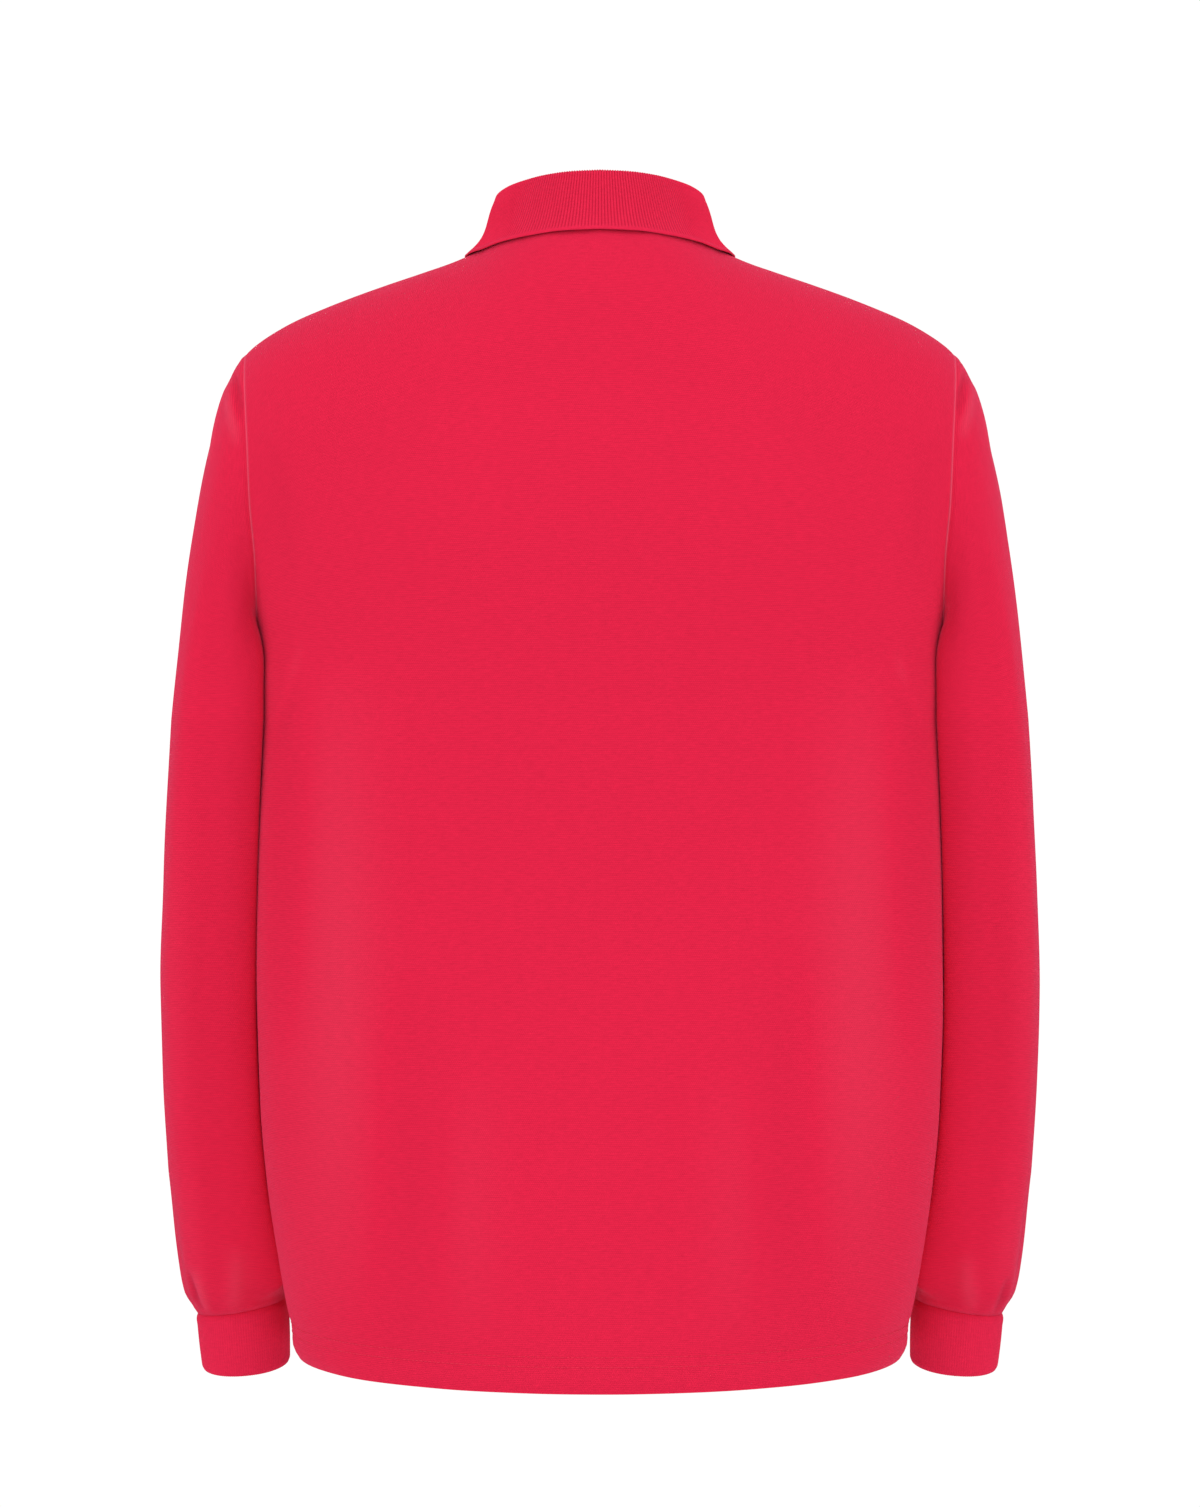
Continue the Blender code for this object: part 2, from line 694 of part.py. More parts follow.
def collar_line(row, base):
    """One cut through the folded strip: up the stand, over the fold and down the fall."""
    cut = dict(zip(collar_columns, row))
    fold = np.array([cut["fold_x"], cut["fold_y"], cut["fold_z"]])
    edge = np.array([cut["edge_x"], cut["edge_y"], cut["edge_z"]])
    outer, inner, away = base
    radius = collar_fold_radius
    outward = unit(np.array([fold[0], fold[1] + 0.3, 0.0]))
    up = np.array([0.0, 0.0, 1.0])
    centre = fold - up * radius
    bottom = inner + away * collar_gap
    points = [bottom]
    stand_top = centre - outward * radius
    for share in (0.2, 0.6):
        points.append(bottom + (stand_top - bottom) * share)
    for turn in (180.0, 135.0, 90.0, 45.0, 0.0):
        angle = math.radians(turn)
        points.append(centre + radius * (outward * math.cos(angle) + up * math.sin(angle)))
    fall_top = centre + outward * radius
    for share in (0.25, 0.5, 0.75, 1.0):
        sag = 6.75 * share * share * (1.0 - share) * cut["hollow"]
        points.append(fall_top + (edge - fall_top) * share - outward * sag)
    return points


def make_collar(walls, rib):
    bases = collar_bases(walls)
    half = [collar_line(row, base) for row, base in zip(collar_table, bases)]
    half = np.array(half)
    feet = np.array([base[0] + base[2] * collar_gap for base in bases])
    other = mirrored(half[-2::-1])
    grid = np.concatenate((half, other)).transpose(1, 0, 2)
    feet = np.concatenate((feet, mirrored(feet[-2::-1])))
    normals = grid_normals(grid, False)
    back_face = grid + normals * cloth_thickness
    back_face[0] = feet
    make_wall("collar", back_face, grid, rib)


def main():
    pique = cloth_material("pique", (0.76, 0.018, 0.060), 0.90)
    rib = cloth_material("rib", (0.72, 0.017, 0.055), 0.92)
    plastic = cloth_material("button_plastic", (0.70, 0.03, 0.07), 0.35)
    walls = make_panels(pique)
    make_placket(walls, pique, plastic)
    make_sleeves(walls, pique, rib)
    make_collar(walls, rib)


main()
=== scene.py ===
# Long sleeve polo shirt in red knitted cotton, filled out as if worn, with nobody in it.
# Blender works in metres here. The tables and sizes are in centimetres, and meshFrom turns them into metres.
# The shirt's front faces -Y and its left sleeve is at +X. The camera looks at the back.

import math

import bmesh
import bpy
import numpy as np
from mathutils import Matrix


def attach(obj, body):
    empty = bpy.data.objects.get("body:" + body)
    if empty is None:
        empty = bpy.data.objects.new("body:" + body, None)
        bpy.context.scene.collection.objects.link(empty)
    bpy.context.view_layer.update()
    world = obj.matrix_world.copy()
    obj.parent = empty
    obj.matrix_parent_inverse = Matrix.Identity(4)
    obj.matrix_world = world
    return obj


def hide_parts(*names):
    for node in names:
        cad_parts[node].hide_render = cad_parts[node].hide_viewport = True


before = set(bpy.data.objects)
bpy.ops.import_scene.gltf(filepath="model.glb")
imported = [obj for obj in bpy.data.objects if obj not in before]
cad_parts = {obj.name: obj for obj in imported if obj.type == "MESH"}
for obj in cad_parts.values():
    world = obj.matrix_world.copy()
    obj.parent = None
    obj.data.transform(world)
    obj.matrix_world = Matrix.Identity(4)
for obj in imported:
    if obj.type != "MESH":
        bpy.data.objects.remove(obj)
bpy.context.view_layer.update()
print("frame loaded:", len(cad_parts), "nodes")

back, front = 1, -1
sideName = {back: "back", front: "front"}

# What the cloth is like everywhere
cloth = {
    "thickness": 0.20,
    "seamGap": 0.008,
    "seamDip": 0.012,  # how far the cloth sinks where two pieces are sewn together
    "cuffSeamDip": 0.09,
    "seamWidth": 0.15,
    "seamRidge": 0.025,  # the folded-in seam allowance lifts the cloth beside the seam
    "seamRidgeAt": 0.42,
    "seamRidgeWidth": 0.2,
    "paintedSeamHighlightWidth": 0.075,  # a painted highlight along the seam's turned edge
    "paintedCreaseShading": 3.0,  # painted highlight on a ridge and painted shade in a trough, by its rise
    # painted light and shade on the large folds, by their rise
    "paintedFoldShading": 0.6,
    "unevenness": 0.035,
    "foldFreeDepth": 3.0,
}

bodySizes = {
    "hemHeight": -71.6,
    "hemBand": 2.3,
    "hemThickness": 0.30,
    "hemStitchHeights": (1.62, 2.22),  # above the lower edge
    "hemStitchSink": 0.045,
    "hemStitchWidth": 0.12,
    "hemSwell": {"rise": 0.03, "height": 1.0, "halfWidth": 0.55},
    "hemEdge": {"sink": 0.05, "halfWidth": 0.16},
    "underarmHeight": -27.5,
    "shoulderPoint": (22.7, -7.05),
    "neckHalfWidth": 7.6,
    "shoulderRound": 9.0,
    "armholeDepth": {back: 7.6, front: 7.0},
    "slitHalfColumns": 1.0,
    "slitFirstStep": 3.0,  # of the ten steps from the underarm to the neck
}

# Level cuts through the body; fullness is the power of the rounded oval
bodyColumns = ("height", "halfWidth", "back", "front", "seamY", "fullness")
bodyTable = (
    (-71.6, 19.52, 15.3, 13.4, -1.0, 2.05),
    (-70.8, 19.83, 15.25, 13.25, -1.0, 2.05),
    (-70.0, 19.89, 15.2, 13.1, -1.0, 2.06),
    (-68.2, 20.26, 14.9, 12.8, -1.0, 2.15),
    (-65.6, 20.70, 14.4, 12.4, -1.0, 2.30),
    (-60.4, 21.44, 13.4, 11.8, -1.0, 2.60),
    (-55.3, 21.85, 12.5, 11.2, -1.0, 2.90),
    (-48.0, 22.05, 11.7, 10.6, -1.0, 3.15),
    (-40.0, 22.00, 11.4, 10.4, -1.0, 3.30),
    (-30.0, 21.94, 11.6, 10.5, -1.0, 3.30),
    (-27.5, 21.94, 11.8, 10.6, -0.97, 3.20),
    (-20.0, 21.94, 12.2, 10.8, -0.75, 2.85),
    (-14.0, 21.94, 11.8, 10.1, -0.5, 2.50),
    (-10.0, 21.94, 11.0, 9.1, -0.25, 2.35),
    (-7.4, 21.94, 10.5, 8.1, 0.0, 2.30),
    (-4.6, 21.94, 10.2, 7.2, 0.0, 2.30),
    (-2.0, 21.94, 10.1, 6.3, 0.0, 2.30),
    (0.5, 21.94, 10.3, 5.8, 0.0, 2.30),
    (4.0, 21.94, 10.3, 5.5, 0.0, 2.30),
)

ridgeColumns = ("x", "height")
ridgeTable = (
    (0.0, 3.33), (3.0, 2.72), (4.5, 1.94), (6.0, 0.95), (7.0, 0.16), (7.6, -0.35),
    (9.2, -1.13), (11.3, -1.87), (13.6, -2.64), (15.8, -3.42), (17.8, -4.20),
    (19.5, -4.93), (20.9, -5.69), (22.1, -6.50), (22.7, -7.05), (24.0, -8.60),
)

neckColumns = ("x", "back", "front")
neckTable = (
    (0.0, 0.50, -7.40),
    (1.6, 0.47, -7.25),
    (3.4, 0.36, -6.40),
    (5.2, 0.12, -4.80),
    (6.5, -0.10, -2.95),
    (7.3, -0.27, -1.30),
    (7.6, -0.35, -0.35),
)

armholeColumns = ("height", "back", "front")
armholeTable = (
    (-27.5, 21.94, 21.94),
    (-25.0, 21.70, 21.45),
    (-21.0, 21.62, 21.15),
    (-17.0, 21.90, 21.15),
    (-13.0, 22.15, 21.50),
    (-9.0, 22.50, 22.20),
    (-7.05, 22.70, 22.70),
)

# The large soft folds that hang down the body: a positive rise stands out
foldColumns = ("side", "x", "top", "bottom", "halfWidth", "rise")
foldTable = (
    (back, 19.8, -24.0, -52.0, 1.7, -0.35),
    (back, 16.3, -27.0, -68.0, 2.6, 0.40),
    (back, 11.8, -46.0, -71.0, 2.2, -0.22),
    (back, 8.0, -52.0, -69.0, 2.0, 0.16),
    (back, -19.8, -24.0, -52.0, 1.7, -0.35),
    (back, -15.9, -27.0, -68.0, 2.6, 0.40),
    (back, -11.5, -44.0, -71.0, 2.2, -0.22),
    (back, -8.2, -52.0, -69.0, 2.0, 0.16),
    (front, 18.6, -22.0, -50.0, 1.8, -0.40),
    (front, 14.6, -26.0, -66.0, 2.6, 0.42),
    (front, 9.8, -40.0, -71.0, 2.3, -0.26),
    (front, -18.9, -22.0, -54.0, 1.8, -0.40),
    (front, -15.0, -28.0, -68.0, 2.6, 0.40),
    (front, -10.4, -42.0, -71.0, 2.3, -0.24),
)

# Small creases, drawn from one place to another as seen from the front or the back
creaseColumns = ("side", "fromX", "fromZ", "toX", "toZ", "halfWidth", "rise", "bow")
bodyCreases = (
    (back, 18.6, -25.5, 20.4, -31.0, 0.45, 0.06, 0.2),
    (back, 18.9, -27.5, 20.6, -33.0, 0.50, -0.04, 0.2),
    (back, -18.4, -26.0, -20.3, -31.5, 0.45, 0.06, -0.2),
    (back, -18.8, -28.0, -20.5, -33.5, 0.50, -0.04, -0.2),
    (back, 21.0, -12.0, 19.6, -22.5, 0.90, -0.04, 0.5),
    (back, -21.0, -12.5, -19.7, -23.5, 0.90, -0.04, -0.5),
    (front, 20.3, -24.0, 17.5, -31.5, 0.90, -0.08, 0.5),
    (front, 20.6, -26.5, 17.2, -36.5, 1.00, 0.07, 0.6),
    (front, -20.3, -24.5, -17.3, -32.5, 0.90, -0.07, -0.5),
    (front, -20.5, -27.5, -17.6, -35.5, 1.00, 0.06, -0.5),
    (front, 3.0, -25.5, 7.5, -36.0, 1.30, 0.05, 0.6),
    (front, -2.2, -28.0, -5.0, -41.0, 1.20, 0.04, -0.6),
)

# Level cuts through the left sleeve; lean is how far its rear inner corner lies over on the body
sleeveColumns = (
    "height", "innerX", "outerX", "middleY", "halfDepth", "outerDrop", "rearDrop", "fullness", "lean",
)
sleeveTable = (
    (-30.6, 22.30, 27.58, -2.5, 8.6, 0.0, 0.0, 2.70, 1.0),
    (-36.0, 22.30, 27.96, -3.1, 8.2, 0.0, 0.0, 3.00, 1.0),
    (-42.0, 22.30, 28.30, -3.6, 7.7, 0.0, 0.0, 3.10, 0.95),
    (-48.0, 22.30, 28.54, -4.0, 7.1, 0.0, 0.0, 3.00, 0.9),
    (-54.0, 22.18, 28.49, -4.3, 6.4, 0.05, 0.05, 2.80, 0.85),
    (-59.5, 21.85, 28.26, -4.6, 5.7, 0.10, 0.10, 2.60, 0.8),
    (-63.4, 21.45, 28.00, -4.8, 5.05, 0.20, 0.10, 2.45, 0.6),
    (-66.4, 21.05, 27.64, -5.0, 4.5, 0.30, 0.15, 2.30, 0.3),
    (-67.8, 20.86, 27.33, -5.1, 4.0, 0.40, 0.20, 2.20, 0.1),
    (-68.7, 20.70, 26.72, -5.2, 3.4, 0.50, 0.25, 2.15, 0.0),
)

sleeveSizes = {
    "restGap": 0.015,  # between the body's side and the part of the sleeve that rests on it
    "restAbove": 4.5,  # it begins this far above the underarm
    "cornerSquareness": 2.2,  # how much squarer a leaning corner is
    "capSteps": 60,
    "ringStep": 0.42,
    "gathers": 15,
    "gatherRise": 0.085,
    "gatherHeight": 3.2,
    "seed": 11,
}

# How the lines of the sleeve's cap leave the armhole seam and arrive at the bicep
capTable = {
    "top": (2.6, 0.0, -2.2, -0.9, 0.0, 9.7),
    "side": (2.2, 0.5, -1.6, -0.4, -0.4, 6.0),
    "bottom": (0.05, 0.0, 0.75, 0.1, 0.1, 3.3),
}

# Soft folds of a sleeve by the angle round it: 0 is outwards and 90 is to the back
sleeveFoldColumns = ("angle", "top", "bottom", "halfAngle", "rise")
sleeveFoldTable = (
    (62.0, -33.0, -60.0, 22.0, 0.16),
    (118.0, -30.0, -56.0, 20.0, -0.14),
    (-60.0, -32.0, -58.0, 22.0, 0.16),
    (24.0, -60.0, -69.5, 13.0, -0.22),
    (66.0, -58.0, -69.5, 16.0, 0.14),
)

# Small creases of the left sleeve, and those of the right one with its x turned over
leftSleeveCreases = (
    (back, 22.45, -12.0, 23.35, -8.4, 0.32, -0.20, 0.0),
    (back, 22.5, -9.8, 23.2, -7.9, 0.20, 0.09, 0.0),
    (back, 22.7, -13.6, 23.75, -9.3, 0.36, 0.15, 0.0),
    (back, 23.95, -9.0, 24.7, -15.0, 0.20, 0.12, -0.1),
    (back, 24.45, -9.8, 25.5, -17.0, 0.20, -0.08, -0.1),
    (back, 23.4, -64.5, 24.0, -69.5, 0.60, 0.10, 0.2),
    (back, 26.8, -66.2, 26.0, -69.4, 0.35, -0.22, 0.0),
    (back, 26.2, -66.0, 25.5, -69.4, 0.35, 0.16, 0.0),
    (front, 23.2, -12.4, 25.2, -9.4, 0.60, -0.20, 0.0),
    (front, 25.0, -45.0, 27.4, -49.5, 0.90, -0.14, 0.3),
    (front, 23.4, -47.5, 26.6, -52.5, 0.90, 0.14, 0.3),
    (front, 24.0, -63.0, 24.8, -69.2, 0.50, -0.16, 0.2),
)
rightSleeveCreases = (
    (back, 22.45, -11.7, 23.3, -8.3, 0.32, -0.19, 0.0),
    (back, 22.5, -9.7, 23.15, -7.8, 0.20, 0.09, 0.0),
    (back, 22.7, -13.2, 23.7, -9.1, 0.36, 0.14, 0.0),
    (back, 23.95, -8.9, 24.7, -14.6, 0.20, 0.11, -0.1),
    (back, 24.45, -9.7, 25.5, -16.6, 0.20, -0.08, -0.1),
    (back, 23.6, -65.0, 24.4, -69.5, 0.60, 0.10, 0.2),
    (back, 26.6, -66.6, 25.9, -69.4, 0.35, -0.20, 0.0),
    (front, 23.2, -12.0, 25.0, -9.2, 0.60, -0.20, 0.0),
    (front, 24.6, -44.0, 27.2, -47.5, 0.90, -0.14, 0.3),
    (front, 23.2, -46.5, 26.2, -51.0, 0.90, 0.12, 0.3),
    (front, 25.2, -63.5, 25.0, -69.2, 0.50, -0.16, 0.2),
)

cuffColumns = ("height", "innerX", "outerX", "middleY", "halfDepth", "outerDrop", "rearDrop")
cuffTable = (
    (-69.15, 20.60, 26.60, -5.3, 2.95, 0.50, 0.20),
    (-71.20, 20.53, 26.42, -5.5, 2.88, 0.34, 0.30),
    (-73.10, 20.50, 26.24, -5.7, 2.80, 0.20, 0.38),
)
cuffSizes = {
    "fullness": 2.1,
    "thickness": 0.28,
    "ribPitch": 0.16,
    "ribRise": 0.010,
    # painted highlight on the ribs' crests and painted shade in their grooves
    "paintedRibShading": 0.3,
    "swell": 0.03,
    "swellHeight": 3.9,
    "edgeSink": 0.09,
    "edgeHeight": 0.14,
    "rows": 22,
}

# Collar, from the middle of the front round to the middle of the back
collarColumns = ("foldX", "foldY", "foldZ", "edgeX", "edgeY", "edgeZ", "hollow")
collarTable = (
    (0.13, -7.92, -4.52, 4.60, -10.15, -11.20, 0.00),
    (1.55, -7.75, -4.15, 5.35, -9.75, -10.10, 0.05),
    (3.20, -7.15, -3.20, 6.30, -9.10, -8.60, 0.10),
    (4.75, -5.85, -1.40, 7.40, -7.70, -6.20, 0.16),
    (5.75, -4.10, 0.55, 8.15, -5.60, -3.70, 0.24),
    (6.25, -2.10, 2.15, 8.58, -2.90, -1.48, 0.38),
    (6.47, 0.00, 2.84, 8.72, 0.00, -0.76, 0.46),
    (6.34, 1.75, 3.03, 8.48, 2.05, -0.80, 0.43),
    (5.75, 3.70, 3.17, 7.66, 4.04, -0.80, 0.34),
    (4.65, 5.25, 3.34, 6.30, 5.90, -0.57, 0.26),
    (3.30, 6.25, 3.53, 4.45, 7.33, -0.36, 0.20),
    (1.70, 6.85, 3.66, 2.30, 8.14, -0.17, 0.18),
    (0.00, 7.00, 3.72, 0.00, 8.42, -0.11, 0.18),
)
collarSizes = {
    "foldRadius": 0.35,
    "gap": 0.05,
    "ribPitch": 0.158,
    "ribRise": 0.030,
    "ribFade": 0.22,  # the knitted-off edge is smooth over this width
    "edgeRise": 0.02,
    "edgeAt": 0.12,
    "edgeThickness": 0.11,
}

placketSizes = {
    "halfWidth": 1.6,
    "cover": 0.15,
    "belowSlit": 0.8,
    "lift": 0.04,
    "thickness": 0.16,
    "edgeRound": 0.12,
    "stitchInset": 0.22,
    "stitchWidth": 0.09,
    "stitchSink": 0.035,
    "boxHeight": 2.2,
}

buttonSizes = {
    "radius": 0.57,
    "thickness": 0.24,
    "heights": (-9.0, -14.4, -19.8),
    "holeRadius": 0.085,
    "holeSpacing": 0.155,
    "sides": 48,
    "buttonholeLength": 1.5,
    "buttonholeHalfWidth": 0.13,
    "strandShift": 0.045,
    "strandRise": 0.09,
    "strandRadius": 0.022,
    "zigzags": 150,
    "zigzagRadius": 0.017,
}

stitchSizes = {
    "length": 0.27,
    "radius": 0.024,
    "hemPitch": 0.30,
    "placketPitch": 0.28,
    "seed": 5,
}


# Reading the tables
def smoothCurve(xs, ys):
    # a smooth line through the points with no overshoot between them
    order = np.argsort(xs)
    x = np.array(xs, dtype=float)[order]
    y = np.array(ys, dtype=float)[order]
    step = np.diff(x)
    slope = np.diff(y) / step
    product = slope[:-1] * slope[1:]
    total = np.where(product > 0.0, slope[:-1] + slope[1:], 1.0)
    tangent = np.concatenate(([slope[0]], np.where(product > 0.0, 2.0 * product / total, 0.0), [slope[-1]]))

    def read(value):
        value = np.clip(value, x[0], x[-1])
        i = np.clip(np.searchsorted(x, value, side="right") - 1, 0, len(step) - 1)
        t = (value - x[i]) / step[i]
        start = (1.0 + 2.0 * t) * (1.0 - t) ** 2 * y[i] + t * (1.0 - t) ** 2 * step[i] * tangent[i]
        return start + t * t * (3.0 - 2.0 * t) * y[i + 1] + t * t * (t - 1.0) * step[i] * tangent[i + 1]

    return read


def tableCurves(table, names, by=None):
    columns = {name: [row[i] for row in table] for i, name in enumerate(names)}
    along = columns[by] if by else list(range(len(table)))
    return {name: smoothCurve(along, columns[name]) for name in names if name != by}


body = tableCurves(bodyTable, bodyColumns, "height")
ridge = tableCurves(ridgeTable, ridgeColumns, "x")["height"]
neck = tableCurves(neckTable, neckColumns, "x")
armhole = tableCurves(armholeTable, armholeColumns, "height")


def smoothStep(t):
    t = np.clip(t, 0.0, 1.0)
    return t * t * (3.0 - 2.0 * t)


def bell(t):
    return np.exp(-t * t)


def unit(vectors):
    return vectors / np.maximum(np.linalg.norm(vectors, axis=-1, keepdims=True), 1e-9)


def tableRows(table, names):
    return [dict(zip(names, row)) for row in table]


def alongFold(fold, z):
    # 0 at the fold's top and 1 at its bottom
    return np.clip((fold["top"] - z) / (fold["top"] - fold["bottom"]), 0.0, 1.0)


# The form of the body
def shoulderShare(x, z):
    t = np.clip((ridge(np.abs(x)) - z) / bodySizes["shoulderRound"], 0.0, 1.0)
    return np.sqrt(1.0 - (1.0 - t) ** 2)


def fullHalfWidth(side, z):
    shoulderZ = bodySizes["shoulderPoint"][1]
    underarm = bodySizes["underarmHeight"]
    level = np.minimum(z, shoulderZ - 0.15)
    x = armhole[sideName[side]](level)
    power = body["fullness"](level)
    middle, half = 0.5 * (shoulderZ + underarm), 0.5 * (shoulderZ - underarm)
    cosine = np.clip((level - middle) / half, -1.0, 1.0)
    reach = bodySizes["armholeDepth"][side] * np.sqrt(1.0 - cosine * cosine)
    share = reach / np.maximum(body[sideName[side]](level) * shoulderShare(x, level), 1e-6)
    above = x / (1.0 - np.minimum(share, 0.95) ** power) ** (1.0 / power)
    return np.where(z <= underarm, body["halfWidth"](z), above)


def foldRise(side, x, z):
    total = np.zeros_like(x)
    for fold in tableRows(foldTable, foldColumns):
        if fold["side"] == side:
            fade = np.sin(math.pi * alongFold(fold, z)) ** 0.8
            total = total + fold["rise"] * fade * bell((x - fold["x"]) / fold["halfWidth"])
    return total


def formY(side, x, z, lift=0.0):
    x, z = np.broadcast_arrays(np.asarray(x, dtype=float), np.asarray(z, dtype=float))
    power = body["fullness"](z)
    reach = np.minimum(np.abs(x) / fullHalfWidth(side, z), 1.0)
    depth = body[sideName[side]](z) * (1.0 - reach ** power) ** (1.0 / power) * shoulderShare(x, z)
    depth = depth + foldRise(side, x, z) * smoothStep(depth / cloth["foldFreeDepth"] - 1.0)
    return body["seamY"](z) + side * (depth + lift + 0.5 * cloth["seamGap"])


# Small creases and the slight unevenness of hanging cloth
def creaseRise(points, creases, middleY):
    # a crease is a soft trough or ridge along a slightly bowed line, fading out at both ends
    x, y, z = points[..., 0], points[..., 1], points[..., 2]
    total = np.zeros_like(x)
    for crease in tableRows(creases, creaseColumns):
        start = np.array([crease["fromX"], crease["fromZ"]])
        line = np.array([crease["toX"], crease["toZ"]]) - start
        length = np.linalg.norm(line)
        line = line / length
        along = ((x - start[0]) * line[0] + (z - start[1]) * line[1]) / length
        bow = crease["bow"] * 4.0 * along * (1.0 - along)
        across = (x - start[0]) * line[1] - (z - start[1]) * line[0] - bow
        fade = np.sin(math.pi * np.clip(along, 0.0, 1.0)) ** 0.7
        onSide = smoothStep((y - middleY) * crease["side"] / 0.8)
        total = total + crease["rise"] * fade * bell(across / crease["halfWidth"]) * onSide
    return total


# Lengths across and along the cloth and share of the waves that make it slightly uneven
waveTable = (
    (9.0, 34.0, 1.0),
    (5.2, 21.0, 0.7),
    (3.1, 12.0, 0.35),
    (12.0, 8.0, 0.4),
)


def unevenness(across, along, seed):
    # long shallow waves, mostly upright, from a few sines with fixed random phases
    randoms = np.random.default_rng(seed)
    total = np.zeros_like(across)
    for acrossLength, alongLength, share in waveTable:
        for _ in range(3):
            tilt = randoms.uniform(0.8, 1.25)
            phase = randoms.uniform(0.0, 2.0 * math.pi, 2)
            wave = np.sin(2.0 * math.pi * across / (acrossLength * tilt) + phase[0])
            total = total + share * wave * np.sin(2.0 * math.pi * along / (alongLength * tilt) + phase[1])
    return cloth["unevenness"] * total / 2.2


def seamShape(distance, dip):
    # the groove of a sewn seam, with the seam allowance showing faintly beside it
    groove = -dip * bell(distance / cloth["seamWidth"])
    return groove + cloth["seamRidge"] * bell((distance - cloth["seamRidgeAt"]) / cloth["seamRidgeWidth"])


def paintedSeamHighlight(distance):
    # a painted highlight along a seam, strongest on its line
    return bell(distance / cloth["paintedSeamHighlightWidth"])


def gridNormals(grid, closed=False):
    if closed:
        across = np.roll(grid, -1, axis=1) - np.roll(grid, 1, axis=1)
    else:
        across = np.gradient(grid, axis=1)
    return unit(np.cross(across, np.gradient(grid, axis=0)))


def arcFrom(grid, axis, fromEnd):
    # distance along the cloth from one edge of a grid
    step = np.linalg.norm(np.diff(grid, axis=axis), axis=2)
    start = np.zeros_like(np.take(step, [0], axis=axis))
    along = np.concatenate((start, np.cumsum(step, axis=axis)), axis=axis)
    return np.take(along, [-1], axis=axis) - along if fromEnd else along


def fromBothSides(grid):
    return np.minimum(arcFrom(grid, 1, False), arcFrom(grid, 1, True))


def lengthsAlong(points):
    return np.concatenate(([0.0], np.cumsum(np.linalg.norm(np.diff(points, axis=0), axis=1))))


# Making meshes
def addObject(name, data):
    made = bpy.data.objects.new(name, data)
    bpy.context.scene.collection.objects.link(made)
    return made


def meshFrom(name, points, faces, uvs, material):
    mesh = bpy.data.meshes.new(name)
    mesh.from_pydata((points * 0.01).tolist(), [], faces)
    if uvs is not None:
        mesh.uv_layers.new(name="cloth").uv.foreach_set("vector", np.asarray(uvs, dtype=np.float32).ravel())
    mesh.shade_smooth()
    mesh.set_sharp_from_angle(angle=math.radians(55.0))
    mesh.materials.append(material)
    return addObject(name, mesh)


